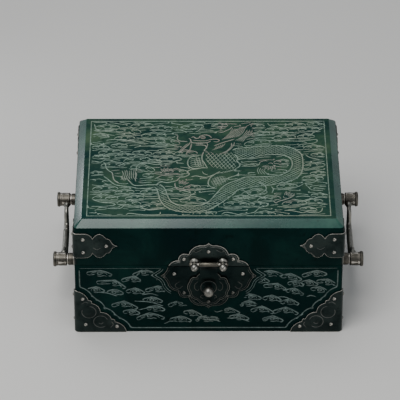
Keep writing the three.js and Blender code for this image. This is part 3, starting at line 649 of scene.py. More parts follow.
def line(points, width=0.95, depth=0.36, step=1.1):
    return Stroke(smooth(top_place(points), step), width, depth, 2.4)


def lines(*rows):
    return [line(*row) for row in rows]


def spiral(cx, cy, r, turns, start, width):
    t = np.linspace(0, 1, max(8, int(turns * 12)))
    a = start + turns * 2 * math.pi * t
    rr = r * (1 - 0.78 * t)
    p = np.column_stack([cx + rr * np.cos(a), cy + rr * 0.72 * np.sin(a)])
    return Stroke(top_place(p), width, 0.28, 1.2)


def cloud(cx, cy, size, hand, tilt, kind, width):
    """One ruyi cloud: a pointed double cap over two curled eyes, and flowing tails under it."""
    c, s = math.cos(tilt), math.sin(tilt)

    def put(points):
        p = arr(points) * size
        x, y = p[:, 0] * hand * 1.28, p[:, 1] * 0.92
        return top_place(np.column_stack([cx + c * x - s * y, cy + s * x + c * y]))

    def run(points, w=width, d=0.3):
        return Stroke(smooth(put(points), 1.15), w, d, 1.4)

    cap = arr([(-1.12, 0.26), (-1.0, -0.06), (-0.68, -0.3), (-0.3, -0.44), (0, -0.64), (0.34, -0.42),
               (0.7, -0.28), (1.0, -0.02), (1.1, 0.28)])
    out = [run(cap, width * 1.25, 0.36), run(cap[1:-1] * arr([0.8, 0.62]) + arr([0, 0.04]), width * 0.9)]
    for side in (-1, 1):
        a = math.pi * (0.05 + 1.75 * np.linspace(0, 1, 9))
        r = 0.2 * (1 - 0.55 * np.linspace(0, 1, 9))
        eye = np.column_stack([side * (0.4 + r * np.cos(a)), 0.02 - 0.8 * r * np.sin(a)])
        out.append(run(eye, width * 0.8))
    out.append(run([(-1.12, 0.26), (-0.94, 0.46), (-0.6, 0.42), (-0.44, 0.26)]))
    out.append(run([(1.1, 0.28), (0.86, 0.46), (0.5, 0.36), (0.1, 0.44), (-0.3, 0.42)]))
    if kind == 0:
        out.append(run([(0.9, 0.6), (0.45, 0.56), (0.05, 0.66), (-0.4, 0.62), (-0.8, 0.7), (-1.6, 0.58)],
                       width * 1.15, 0.34))
        out.append(run([(0.5, 0.8), (0.0, 0.88), (-0.5, 0.86), (-1.1, 0.9)]))
    elif kind == 1:
        out.append(run([(-0.7, 0.62), (-0.2, 0.6), (0.4, 0.66), (1.0, 0.56), (1.5, 0.62), (2.2, 0.44)],
                       width * 1.15, 0.34))
    elif kind == 2:
        out.append(run([(-0.66, 0.6), (-0.2, 0.64), (0.3, 0.58), (0.8, 0.68), (1.2, 0.56)]))
    return out


class Ground:
    """Which places of the panel are still free of lines."""

    CELL = 0.5

    def __init__(self, x, y):
        self.x, self.y = x, y
        self.taken = np.zeros((int(2 * x / self.CELL) + 1, int(2 * y / self.CELL) + 1), bool)

    def index(self, p):
        i = ((p[:, 0] + self.x) / self.CELL).astype(int).clip(0, self.taken.shape[0] - 1)
        j = ((p[:, 1] + self.y) / self.CELL).astype(int).clip(0, self.taken.shape[1] - 1)
        return i, j

    def mark(self, strokes, radius):
        reach = int(radius / self.CELL)
        around = range(-reach, reach + 1)
        steps = [(a, b) for a in around for b in around if a * a + b * b <= reach * reach]
        last_i, last_j = self.taken.shape[0] - 1, self.taken.shape[1] - 1
        for s in strokes:
            i, j = self.index(smooth(s.p, self.CELL))
            for a, b in steps:
                self.taken[(i + a).clip(0, last_i), (j + b).clip(0, last_j)] = True

    def mark_area(self, outline):
        gx, gy = np.indices(self.taken.shape)
        p = np.column_stack([gx.ravel() * self.CELL - self.x, gy.ravel() * self.CELL - self.y])
        self.taken |= inside(p, outline).reshape(self.taken.shape)

    def free(self, p):
        i, j = self.index(p)
        inner = (np.abs(p[:, 0]) < self.x - 1.0) & (np.abs(p[:, 1]) < self.y - 1.0)
        return inner & ~self.taken[i, j]


def patch_lattice(outline, angle, pitch, width=0.66, turn=0.52):
    """Two families of parallel lines over a closed patch."""
    poly = smooth(outline, 1.5, closed=True)
    centre = poly.mean(axis=0)
    reach = np.hypot(*(poly - centre).T).max()
    out = []
    for way in (turn, -turn):
        d = arr([math.cos(angle + way), math.sin(angle + way)])
        e = arr([-d[1], d[0]])
        for k in np.arange(-reach, reach, pitch):
            p = centre + e * k + np.outer(np.arange(-reach, reach, 0.5), d)
            for start, end in runs(inside(p, poly)):
                if end - start > 4:
                    pick = np.linspace(start, end - 1, max(3, (end - start) // 6)).astype(int)
                    out.append(Stroke(p[pick], width, 0.28, 0.5))
    return out


def claw(cx, cy, angle, size, fingers=4):
    """A dragon's claw seen from above: a fan of hooked talons from a rounded paw."""
    out = []
    for k in range(fingers):
        a = angle + (k - (fingers - 1) / 2) * 0.42
        c, s = math.cos(a), math.sin(a)
        for side, reach in ((-1, 52), (1, 46)):
            pts = []
            for t in (0, 0.3, 0.62, 0.86, 1.0):
                r = (14 + reach * t) * size
                w = side * (7.5 * (1 - t) + 1.0) * size + 12 * t * t * size
                pts.append((cx + c * r - s * w, cy + s * r + c * w))
            out.append(line(pts, 0.7, 0.3))
    t = np.linspace(angle - 2.4, angle + 2.4, 12) + math.pi
    paw = [(cx + 16 * size * math.cos(a), cy + 16 * size * math.sin(a)) for a in t[2:-2]]
    out.append(line(paw, 0.75, 0.3))
    return out


# The width and the depth of the dragon's main lines
HEAVY = (1.15, 0.42)
BACK = [
    (940, 322), (960, 302), (1030, 289), (1100, 280), (1180, 272), (1250, 270), (1330, 290), (1390, 350),
    (1402, 430), (1396, 520), (1372, 590), (1320, 640), (1240, 668), (1165, 688), (1085, 700), (1010, 722),
    (970, 736), (940, 780), (890, 838), (840, 888), (790, 932), (720, 956), (640, 962), (560, 944),
    (505, 905), (472, 850), (458, 790), (446, 730), (430, 704),
]
BELLY = [
    (968, 424), (1000, 410), (1080, 395), (1130, 374), (1200, 364), (1270, 370), (1318, 402), (1332, 450),
    (1326, 500), (1300, 545), (1250, 580), (1180, 596), (1100, 600), (1020, 604), (965, 636), (905, 672),
    (868, 712), (845, 750), (815, 800), (785, 850), (740, 885), (680, 900), (620, 896), (565, 878),
    (532, 842), (514, 790), (504, 745), (488, 705), (462, 672),
]


def dragon_body():
    """The body from the neck round to the tail, its scales, and the ridge along the back."""
    out = lines((BACK, *HEAVY), (BELLY, *HEAVY))
    out += patch_lattice(top_place(BACK + BELLY[::-1]), 0.0, 2.7, 0.55, 0.72)
    ridge = smooth(top_place(BACK), 3.2)
    nrm = normals(ridge)
    for i in range(2, len(ridge) - 2, 2):
        p = ridge[i] + nrm[i] * 0.2
        q = ridge[i] + nrm[i] * 2.0 + (ridge[i + 1] - ridge[i]) * 0.5
        out.append(Stroke(np.vstack([p, (p + q) / 2 + nrm[i] * 0.1, q]), 0.6, 0.26, 1.0))
    return out


def dragon_neck():
    """The neck and the chest."""
    out = lines(
        ([(752, 330), (742, 370), (740, 415), (755, 452), (768, 490), (776, 508)], *HEAVY),
        ([(952, 360), (975, 398), (968, 430), (984, 458), (986, 488), (962, 514), (948, 532)], *HEAVY))
    neck = [(770, 325), (850, 350), (930, 330), (966, 400), (970, 450), (965, 500), (930, 530), (850, 520),
            (790, 490), (762, 430)]
    out += patch_lattice(top_place(neck), 1.5, 3.2)
    out.append(line([(700, 372), (662, 396), (646, 440), (650, 482), (672, 508), (706, 512)], *HEAVY))
    for k in range(6):
        y = 396 + 20 * k
        out.append(line([(656 + 3 * abs(k - 2), y), (690, y + 14), (735 + 4 * k, y + 6)], 0.7, 0.28))
    chest = [(700, 385), (735, 390), (745, 450), (755, 495), (700, 500), (680, 450)]
    out += patch_lattice(top_place(chest), 1.2, 2.3)
    return out


def dragon_near_leg():
    """The near shoulder and the first leg."""
    out = lines(
        ([(776, 508), (744, 504), (712, 514), (676, 522), (652, 534), (642, 551), (655, 562), (650, 582),
          (622, 600), (596, 604), (576, 636), (546, 650), (512, 660), (480, 652), (456, 662), (440, 690)],
         *HEAVY),
        ([(860, 540), (834, 562), (806, 584), (770, 604), (736, 600), (700, 590), (664, 600)], *HEAVY),
        ([(740, 540), (752, 566), (782, 582)], 0.8),
        ([(560, 596), (536, 590), (510, 588), (476, 586), (452, 604), (428, 622)], 0.9),
        ([(512, 612), (530, 604), (548, 616), (540, 632), (520, 628)], 0.7))
    out += claw(506, 560, -1.75, 0.95)
    out += claw(604, 688, -1.3, 0.9)
    out += lines(
        ([(564, 660), (564, 692), (580, 728), (620, 744), (658, 760), (668, 778)], 1.0),
        ([(690, 746), (700, 740), (742, 732), (790, 722), (836, 716)], 1.0),
        ([(690, 746), (694, 766), (668, 786), (658, 804), (640, 822), (616, 836), (580, 834)], 1.0))
    return out


def dragon_thigh():
    """The thigh, with its own scales, and its flames."""
    out = lines(
        ([(834, 562), (800, 598), (782, 640), (780, 680), (800, 706), (834, 720)], *HEAVY),
        ([(978, 552), (972, 578), (932, 600), (902, 618), (880, 650)], *HEAVY))
    thigh = [(806, 606), (850, 590), (905, 605), (915, 640), (880, 680), (830, 705), (795, 680), (792, 640)]
    out += patch_lattice(top_place(thigh), 2.4, 2.4)
    for k in range(5):
        out.append(line([(836 + 22 * k, 570 - 6 * k), (858 + 22 * k, 556 - 8 * k),
                         (884 + 22 * k, 562 - 8 * k)], 0.7))
    return out


def dragon_far_legs():
    """The far leg, and the hind leg at the right."""
    out = lines(
        ([(1086, 666), (1112, 660), (1140, 680), (1154, 712), (1148, 744), (1122, 770), (1108, 790)], 0.95),
        ([(985, 742), (1012, 746), (1036, 776), (1062, 794), (1104, 806), (1152, 816), (1198, 832)], 1.0),
        ([(1196, 850), (1214, 870), (1228, 856), (1262, 840), (1298, 822), (1326, 800), (1336, 770)], 1.0))
    out += claw(1278, 806, -0.95, 0.95)
    out += claw(1190, 470, 1.75, 1.0, 5)
    for k in range(4):
        out.append(line([(1110 + 16 * k, 500 + 5 * k), (1102 + 14 * k, 536), (1112 + 20 * k, 574 + 2 * k)],
                        0.75, 0.3))
    out.append(line([(994, 486), (1040, 488), (1092, 486), (1112, 472), (1122, 446), (1150, 430),
                     (1176, 434)], 0.9))
    return out


def dragon_tail():
    """The tail, with its flaming fin."""
    out = lines(
        ([(430, 704), (400, 716), (330, 720), (276, 704), (212, 692), (176, 680), (146, 650), (118, 614),
          (96, 590)], *HEAVY),
        ([(462, 672), (430, 682), (388, 682), (318, 690), (290, 680), (270, 650), (252, 620)], *HEAVY),
        ([(158, 620), (180, 650), (206, 668), (240, 672), (262, 664)], 0.9),
        ([(92, 440), (106, 470), (111, 502), (128, 532), (152, 556), (158, 590), (168, 632), (200, 664)],
         1.05))
    out.append(spiral(232, 625, 22, 1.3, 2.6, 0.7))
    for k in range(7):
        x = 214 + 15 * k
        out.append(line([(x + 14, 640 - 3 * k), (x + 4, 604), (x + 12 - 2 * k, 572),
                         (x + 2 + 4 * (k % 2), 532 - 4 * (k % 3))], 0.8, 0.32))
    out += lines(
        ([(310, 652), (304, 616), (312, 580), (306, 548)], 0.9),
        ([(322, 652), (350, 662), (398, 654), (414, 662)], 0.8))
    return out


def dragon_head():
    """The head, with its jaws, teeth, eye, whiskers and cheeks."""
    out = lines(
        ([(562, 152), (580, 160), (576, 190), (590, 214), (620, 220), (648, 224)], 0.95),
        ([(650, 186), (664, 200), (672, 232), (700, 238), (740, 238), (776, 234), (802, 214)], *HEAVY),
        ([(668, 184), (684, 170), (700, 188), (722, 182), (728, 164), (760, 150), (790, 160), (806, 184)],
         *HEAVY),
        ([(676, 206), (716, 214), (766, 214), (796, 202), (832, 196), (856, 208), (842, 226), (816, 222)],
         0.9))
    for r in (8, 15):
        out.append(Stroke(top_place(arc(748, 178, r, 0, 2 * math.pi, 4)), 0.6, 0.3, 0))
    out += lines(
        ([(694, 262), (738, 260), (764, 268), (770, 292), (754, 320), (776, 328)], *HEAVY),
        ([(770, 236), (778, 256), (772, 290)], 0.8),
        ([(700 + 6 * k, 240 + 10 * (k % 2)) for k in range(9)], 0.5, 0.2, 0.6),
        ([(590, 352), (606, 320), (626, 290), (654, 252), (664, 226)], *HEAVY),
        ([(582, 346), (598, 314), (618, 282), (648, 242)], 0.8),
        ([(634, 364), (642, 340), (660, 310), (667, 276), (672, 242)], *HEAVY),
        ([(818, 272), (850, 252), (882, 232), (922, 214), (958, 196)], *HEAVY),
        ([(870, 348), (900, 330), (922, 302), (936, 270), (936, 238)], *HEAVY),
        ([(848, 362), (882, 344), (912, 318), (930, 290)], 0.9),
        ([(884, 350), (914, 322), (938, 290), (952, 256), (956, 226)], 0.8))
    for k in range(5):
        out.append(line([(806 + 14 * k, 318 - 6 * k), (826 + 14 * k, 300 - 8 * k),
                         (840 + 14 * k, 270 - 8 * k)], 0.65, 0.26))
    return out


def dragon_mane():
    """The horns and the mane."""
    out = lines(
        ([(850, 122), (880, 120), (902, 104), (930, 84), (944, 56)], 1.0),
        ([(858, 100), (878, 80), (900, 84)], 0.8))
    for k in range(9):
        x, y = 872 + 13 * k, 206 - 4 * k
        out.append(line([(x, y), (x + 34, y - 42), (x + 60, y - 88 - 3 * k),
                         (x + 78 + 3 * (k % 3), y - 134 + 8 * (k % 4))], 0.75, 0.32))
    for k in range(5):
        out.append(line([(960 + 12 * k, 214 + 4 * k), (1000 + 9 * k, 180), (1030 + 9 * k, 130 + 6 * k),
                         (1046 + 8 * k, 92 + 14 * (k % 2))], 0.7, 0.3))
    return out


def dragon():
    return (dragon_body() + dragon_neck() + dragon_near_leg() + dragon_thigh()
            + dragon_far_legs() + dragon_tail() + dragon_head() + dragon_mane())


# The place, size, hand and kind of each cloud on the lid
TOP_CLOUDS = [
    (108, 62, 66, 1, 0), (340, 42, 60, 1, 2), (470, 72, 58, -1, 2), (676, 58, 62, 1, 2),
    (420, 152, 66, 1, 0), (226, 180, 54, -1, 0), (1090, 52, 56, 1, 2), (1240, 92, 62, -1, 0),
    (1366, 42, 56, 1, 2), (1456, 86, 58, 1, 2), (1290, 172, 60, 1, 0), (1130, 134, 50, -1, 2),
    (1482, 286, 56, 1, 2), (1516, 366, 46, 1, 2), (132, 330, 60, 1, 0), (232, 372, 54, -1, 2),
    (76, 386, 46, 1, 2), (346, 342, 52, -1, 2), (486, 352, 56, 1, 0), (532, 408, 58, -1, 2),
    (430, 430, 38, 1, 2), (44, 560, 46, 1, 2), (410, 580, 46, 1, 2), (112, 716, 66, 1, 0),
    (236, 752, 50, -1, 2), (400, 748, 50, 1, 2), (588, 792, 58, 1, 2), (268, 866, 62, -1, 0),
    (424, 898, 66, 1, 2), (744, 976, 52, 1, 2), (960, 880, 66, 1, 0), (1092, 882, 58, -1, 2),
    (1142, 976, 54, 1, 2), (1332, 866, 64, 1, 0), (1446, 850, 54, -1, 2), (1290, 692, 54, 1, 0),
    (1460, 610, 56, -1, 2), (1274, 440, 50, 1, 2), (1500, 560, 44, 1, 2), (860, 40, 44, 1, 2),
    (192, 262, 44, 1, 2), (990, 808, 44, -1, 2), (1420, 930, 44, 1, 2), (1500, 790, 46, 1, 2),
    (60, 150, 44, 1, 3),
]
# The long wisps between the clouds
TOP_WAVES = [
    [(4, 228), (50, 240), (110, 266)], [(4, 432), (34, 434), (74, 442), (112, 408)],
    [(100, 210), (150, 200), (232, 206), (300, 226), (390, 246)],
    [(250, 110), (280, 142), (334, 152), (380, 130)],
    [(290, 290), (330, 274), (420, 266), (460, 236), (502, 224)], [(400, 272), (500, 272), (576, 264)],
    [(450, 312), (520, 300), (590, 290)], [(100, 480), (150, 486), (190, 480), (220, 466), (270, 460)],
    [(310, 540), (312, 490), (340, 456), (400, 460), (440, 470), (500, 460), (560, 440), (612, 410)],
    [(116, 830), (120, 814), (172, 810), (232, 790), (300, 774), (342, 776), (370, 800), (402, 806),
     (452, 800), (474, 788)],
    [(374, 828), (410, 826), (452, 824), (468, 800)],
    [(28, 828), (52, 844), (100, 864), (162, 870), (186, 890)],
    [(66, 926), (90, 914), (160, 926), (214, 922), (236, 896), (272, 880)],
    [(250, 992), (270, 974), (330, 984), (400, 990), (464, 986), (470, 958)],
    [(340, 890), (360, 922), (400, 940), (460, 930), (508, 906)],
    [(860, 990), (884, 966), (924, 970), (962, 985), (1002, 990), (1040, 975), (1072, 964), (1092, 938),
     (1112, 914), (1152, 898), (1166, 866)],
    [(1262, 946), (1300, 946), (1340, 956), (1382, 970), (1406, 960), (1424, 965), (1470, 970),
     (1500, 955), (1512, 918)],
    [(1376, 274), (1396, 256), (1432, 250), (1482, 240), (1506, 220), (1496, 200), (1440, 210),
     (1380, 206)],
    [(1424, 370), (1450, 394), (1500, 414), (1518, 416)],
    [(1474, 466), (1502, 446), (1532, 440), (1554, 428)],
    [(1400, 668), (1440, 664), (1470, 654), (1488, 634), (1480, 608)],
    [(1410, 680), (1430, 710), (1452, 736), (1524, 742)],
    [(1300, 720), (1340, 712), (1380, 690), (1400, 668)],
    [(1040, 150), (1100, 140), (1162, 150), (1230, 148)], [(1200, 128), (1302, 124), (1392, 134)],
    [(1228, 212), (1302, 216), (1402, 222), (1442, 240)], [(1286, 60), (1330, 76), (1392, 80), (1442, 74)],
    [(1470, 162), (1480, 130), (1520, 104), (1548, 70)], [(1510, 612), (1520, 596), (1556, 578)],
    [(1496, 702), (1556, 700)], [(1400, 846), (1452, 826), (1490, 812)],
    [(1490, 900), (1510, 890), (1556, 880)],
    [(540, 820), (560, 850), (592, 866), (642, 864), (662, 850), (702, 846), (722, 856)],
    [(600, 60), (622, 82), (642, 92), (684, 90), (704, 70)], [(742, 54), (736, 80), (716, 106), (694, 118)],
    [(20, 30), (40, 92), (110, 100), (160, 96)], [(40, 150), (90, 156), (124, 170), (60, 184)],
    [(800, 62), (830, 42), (852, 36)], [(560, 100), (596, 96), (640, 120)],
    [(1180, 20), (1200, 50), (1250, 56)], [(760, 940), (800, 960), (830, 962), (822, 986)],
    [(1340, 810), (1390, 800), (1440, 806)], [(1188, 700), (1200, 730), (1190, 770)],
    [(1010, 480), (1060, 470), (1096, 480)], [(690, 700), (730, 690), (760, 700)],
]


def top_clouds(rng):
    out = []
    for x, y, size, hand, kind in TOP_CLOUDS:
        out += cloud(x, y, size * 0.9, hand, rng.uniform(-0.12, 0.12), kind, 0.76)
    return out + [line(wave) for wave in TOP_WAVES]


# Places with no small clouds or wisps: calm ovals, and the dragon's head and limbs
CALM = [
    (715, 650, 36, 40), (735, 800, 42, 38), (1035, 530, 36, 28), (40, 500, 30, 40), (570, 480, 30, 24),
    (250, 530, 30, 24), (1110, 235, 40, 16), (880, 160, 35, 40), (1200, 735, 35, 40), (1520, 170, 35, 80),
    (1420, 730, 50, 35), (720, 300, 30, 45), (800, 250, 20, 30), (350, 965, 330, 14), (100, 885, 60, 15),
]
LIMBS = [
    [(562, 152), (700, 150), (860, 130), (956, 196), (936, 270), (870, 348), (760, 330), (660, 250)],
    [(752, 320), (950, 330), (985, 430), (985, 490), (948, 532), (800, 520), (742, 415)],
    [(700, 372), (646, 440), (672, 508), (712, 514), (755, 452)],
    [(776, 508), (712, 514), (642, 551), (650, 582), (596, 604), (546, 650), (456, 662), (560, 680),
     (664, 600), (806, 584), (860, 540)],
    [(834, 562), (782, 640), (800, 706), (834, 720), (880, 650), (978, 552)],
    [(430, 704), (330, 720), (212, 692), (146, 650), (96, 440), (158, 590), (200, 664), (462, 672)],
]
# Where the lines have a warmer colour
WARM_AREAS = [
    [(560, 140), (960, 140), (960, 250), (900, 360), (640, 372), (560, 300)],
    [(850, 0), (1090, 0), (1090, 200), (960, 240), (850, 210)],
    [(150, 520), (340, 520), (340, 660), (200, 668), (150, 620)],
    [(430, 480), (580, 480), (600, 600), (430, 600)], [(560, 610), (670, 610), (670, 740), (560, 740)],
    [(1200, 740), (1340, 740), (1340, 870), (1200, 870)],
    [(1120, 410), (1260, 410), (1260, 530), (1120, 530)],
]


def extra_clouds(ground, rng):
    """Smaller clouds wherever the panel still has room for one."""
    out = []
    wide = arc(0, 0, 0.95, 0, 5.9, 0.35) * arr([1.2, 0.62])
    flat = np.vstack([[0, 0], arc(0, 0, 0.5, 0, 5.5, 0.25), wide])
    for want, low, high in ((0.8, 54, 66), (0.92, 40, 46)):
        for y in range(26, 985, 26):
            for x in range(30, 1540, 30):
                px, py, size = x + rng.uniform(-12, 12), y + rng.uniform(-10, 10), rng.uniform(low, high)
                if ground.free(top_place(flat * size + arr([px, py]))).mean() < want:
                    continue
                one = cloud(px, py, size, rng.choice((-1, 1)), rng.uniform(-0.3, 0.3),
                            rng.choice((0, 1, 2)), 0.72)
                ground.mark(one, 1.2)
                out += one
    return out


def fillers(ground, rng):
    """Long wavy wisps with a hooked end, wherever nothing else is near."""
    row_pitch = 1.7
    shortest = 13
    gap = 5
    out = []
    for y0 in np.arange(-PANEL_Y + 2.4, PANEL_Y - 2, row_pitch):
        phase = rng.uniform(0, 6.28)
        slope = rng.uniform(-0.05, 0.05)
        x = np.arange(-PANEL_X + 1.5, PANEL_X - 1.5, 0.5)
        y = y0 + 1.3 * np.sin(x / 8.3 + phase) + 0.6 * np.sin(x / 3.7 + 2 * phase) + slope * x
        ok = ground.free(np.column_stack([x, y]))
        row = []
        i = 0
        while i < len(x):
            if not ok[i]:
                i += 1
                continue
            j = i
            while j < len(x) and ok[j]:
                j += 1
            while j - i >= shortest:
                count = min(j - i, int(rng.uniform(24, 64)))
                pts = np.column_stack([x[i:i + count], y[i:i + count]])[::4]
                way, up = rng.choice((-1, 1)), rng.choice((-1, 1))
                if way < 0:
                    pts = pts[::-1]
                hook = pts[-1] + arr([(0.9, 0.4), (1.1, 1.1), (0.2, 1.5), (-0.7, 1.1)]) * arr([way, up])
                path = np.vstack([pts, hook]) if rng.random() < 0.6 else pts
                row.append(Stroke(smooth(path, 1.1), rng.uniform(0.62, 0.85), 0.3, 1.6))
                i += count + gap
            i = max(i, j)
        ground.mark(row, 2.1)
        out += row
    return out


def clipped(strokes, keep):
    """Strokes cut to where keep is true of their points."""
    out = []
    for s in strokes:
        for start, end in runs(keep(s.p)):
            if end - start >= 3:
                out.append(Stroke(s.p[start:end], s.width, s.depth, min(1.5, s.width * 2)))
    return out


def sheet_faces(build, outline, strokes, place, warm=()):
    """Adds an engraved sheet, with its grooves in the slots for lines."""
    p, depth, tris = engraved_sheet(outline, strokes)
    middle = p[tris].mean(axis=1)
    groove = (depth[tris].max(axis=1) > 0.02) & (depth[tris].mean(axis=1) > 0.015)
    slots = np.where(groove, LINE, PLAIN)
    for area in warm:
        slots[(slots == LINE) & inside(middle, area)] = WARM
    build.add(place(p, depth), tris, slots, soft=False)


DRAGON_HULL = [
    (640, 372), (742, 300), (660, 250), (590, 150), (700, 140), (860, 90), (1000, 20), (1070, 90),
    (960, 250), (1080, 282), (1280, 262), (1400, 350), (1402, 520), (1320, 640), (1160, 690), (970, 740),
    (790, 936), (640, 966), (500, 910), (446, 730), (270, 704), (120, 614), (96, 440), (240, 520),
    (310, 540), (320, 650), (430, 660), (430, 500), (560, 490), (600, 590), (640, 550),
]
COIL_INSIDE = [(1000, 420), (1130, 380), (1270, 376), (1320, 450), (1290, 545), (1180, 590), (1000, 595)]


def around_dragon(p):
    """Whether points of the panel are clear of the dragon, or inside its coil."""
    hull = smooth(top_place(DRAGON_HULL), 4, closed=True)
    coil = smooth(top_place(COIL_INSIDE), 4, closed=True)
    on_panel = (np.abs(p[:, 0]) < PANEL_X - 0.9) & (np.abs(p[:, 1]) < PANEL_Y - 0.9)
    return on_panel & (~inside(p, hull) | inside(p, coil))


def lid_strokes():
    rng = random.Random(7)
    corners = [(-PANEL_X, -PANEL_Y), (PANEL_X, -PANEL_Y), (PANEL_X, PANEL_Y), (-PANEL_X, PANEL_Y)]
    sides = zip(corners, corners[1:] + corners[:1])
    border = [Stroke(smooth([a, b], 6.0), 0.85, 0.36, 0) for a, b in sides]
    drawn = dragon()
    clouds = clipped(top_clouds(rng), around_dragon)
    ground = Ground(PANEL_X, PANEL_Y)
    ground.mark(drawn + clouds, 1.2)
    for x, y, rx, ry in CALM:
        ground.mark_area(top_place(np.column_stack([x + rx * np.cos(CIRCLE), y + ry * np.sin(CIRCLE)])))
    for limb in LIMBS:
        ground.mark_area(smooth(top_place(limb), 3, closed=True))
    clouds += extra_clouds(ground, rng)
    clouds += clipped(fillers(ground, rng), lambda p: np.ones(len(p), bool))
    reach = arr([PANEL_X + 1, PANEL_Y + 1])
    return [s for s in border + drawn + clouds if (np.abs(s.p).max(axis=0) < reach).all()]


def make_lid():
    b = Build()
    low = rings((0.5, CORNER, LID_LOW), (0.12, CORNER, LID_LOW + 0.12), (0, CORNER, LID_LOW + 0.5))
    side = rings((0, CORNER, LID_EDGE - 0.5), (0.12, CORNER, LID_EDGE - 0.05),
                 (0.4, CORNER, LID_EDGE + 0.36))
    top = rings((BEVEL_RUN - 0.45, 1.3, LID_TOP - 0.42), (BEVEL_RUN - 0.15, 1.0, LID_TOP - 0.08),
                (BEVEL_RUN, 0.8, LID_TOP))
    # the lid's upright sides are in the darker copy of the jade: painted shade
    loft(b, low + side, SIDE)
    # the bevels are in the lighter copy of the jade: painted highlight
    loft(b, side[-1:] + top, EDGE)
    outline = arr(top[-1])[:, :2]
    warm = [top_place(area) for area in WARM_AREAS]
    sheet_faces(b, outline, lid_strokes(), lambda p, d: np.column_stack([p, LID_TOP - d]), warm)
    hollow(b, 0.5, LID_LOW, LID_TOP - LID_THICK, 1)
    finish(b, "jade_lid", "lid", "lid", [JADE_TOP, LINE_TOP, JADE_IN, LINE_WARM, JADE_EDGE_PAINTED_HIGHLIGHT, JADE_SIDE_PAINTED_SHADE])


# The box, with its four engraved sides

FACES = {
    "front": (W / 2, lambda p, d: np.column_stack([p[:, 0], -D / 2 + d, p[:, 1]])),
    "right": (D / 2, lambda p, d: np.column_stack([W / 2 - d, p[:, 0], p[:, 1]])),
    "back": (W / 2, lambda p, d: np.column_stack([-p[:, 0], D / 2 - d, p[:, 1]])),
    "left": (D / 2, lambda p, d: np.column_stack([-W / 2 + d, -p[:, 0], p[:, 1]])),
}


def bracket_edge(step):
    """The scalloped slanting edge of a lower bracket."""
    upper = scallops(scaled(BODY_BRACKET, *BODY_BRACKET_SIZE), step)
    lower = upper[:-1][::-1][:, ::-1]
    return np.vstack([upper, lower])


def panel_outline(half):
    """The engraved border of one side of the box, which keeps clear of the lower brackets."""
    edge = bracket_edge(1.5)
    off = edge + normals(edge) * 4.6
    off = off[(off[:, 0] > 4.3) & (off[:, 1] > 4.5)]
    top, low, side = BODY - 2.9, 4.5, half - 4.3
    right = [(side, top), (side, off[0, 1] + 1.2)]
    right += [(half - x, z) for x, z in off]
    right += [(half - off[-1, 0] - 1.2, low)]
    return np.vstack([right, arr(right)[::-1] * arr([-1, 1])])


def closed_strokes(poly, width, depth, keep=None):
    """A line along a closed outline, or the parts of it where keep is true."""
    p = np.vstack([poly, poly[:1]])
    dense = np.vstack([smooth([a, b], 1.6)[:-1] for a, b in zip(p[:-1], p[1:])] + [p[-1:]])
    s = Stroke(dense, width, depth, 0)
    return clipped([s], keep) if keep else [s]


def front_cloud(a, peak, b):
    """One cloud on a side of the box: a pointed cap over a curled eye, with hooked tails."""
    a, k, b = arr(a), arr(peak), arr(b)
    up = arr([0, 1])
    eye = k - up * 3.5

    def run(points, width=0.75, depth=0.32):
        return Stroke(smooth(points, 0.9), width, depth, 1.6)

    left = smooth([a + (-1.4, -1.8), a, a * 0.45 + k * 0.55 + up * 0.1, k], 0.9)
    hook = [b, b + (1.5, -1.3), b + (0.2, -2.9), b + (-1.8, -2.3)]
    right = smooth([k, k * 0.5 + b * 0.5 + up * 0.4] + hook, 0.9)
    out = [Stroke(np.vstack([left, right[1:]]), 1.1, 0.42, 1.6)]
    t = np.linspace(0, 1, 18)
    r = 2.7 * (1 - 0.72 * t)
    turn = -0.4 + 1.55 * 2 * math.pi * t
    curled = eye + np.column_stack([1.15 * r * np.cos(turn), 0.72 * r * np.sin(turn)])
    out.append(Stroke(curled, 0.7, 0.32, 0.8))
    out.append(run([a + (2.2, -1.5), a * 0.4 + k * 0.6 - up * 1.1, k - up * 1.3,
                    k * 0.45 + b * 0.55 - up * 1.1, b + (-2.4, -1.9)], 0.6, 0.28))
    out.append(run([a + (-1.4, -1.8), a + (1.0, -3.2), eye + (-3.6, -0.4)], 0.7))
    out.append(run([eye + (-2.6, -2.3), eye + (0.6, -2.9), eye + (3.8, -2.2), eye + (6.6, -3.2)], 0.7))
    return out


# The left end, the peak and the right end of each cloud on the front, in pixels of the photograph
CLOUDS_SEEN = [
    ((88, 272), (99.6, 270.4), (110, 273.5)), ((98, 281), (115, 280), (124, 286)),
    ((122.7, 278.8), (134, 276), (138.8, 278.8)), ((134, 273.5), (144.0, 269.4), (156, 273.5)),
    ((146.5, 289), (158, 286), (165, 288.5)), ((113, 304), (124, 301), (136, 306.5)),
    ((138, 317), (149.6, 312.7), (162.7, 316.5)), ((169.6, 303.7), (181, 300), (192, 304.5)),
    ((185, 311), (192, 310), (200, 314)), ((215.8, 309), (227, 306.8), (238, 311.4)),
    ((242.7, 294.5), (251, 294), (259.6, 296.8)), ((262.7, 272), (270, 270.4), (281, 273.5)),
    ((282, 275), (291, 273.5), (300, 278)), ((303.5, 274), (316.5, 270.4), (325, 272.7)),
    ((318, 280), (328, 279), (334.5, 282.7)), ((265, 284.6), (277.3, 283.3), (284.3, 287.4)),
    ((287.1, 289.4), (294.6, 288.0), (302, 292.7)), ((312, 287.7), (320.0, 286.7), (327.1, 290.2)),
    ((274, 310.4), (286, 307), (296.5, 312)), ((252, 309), (262, 306), (272, 311)),
]
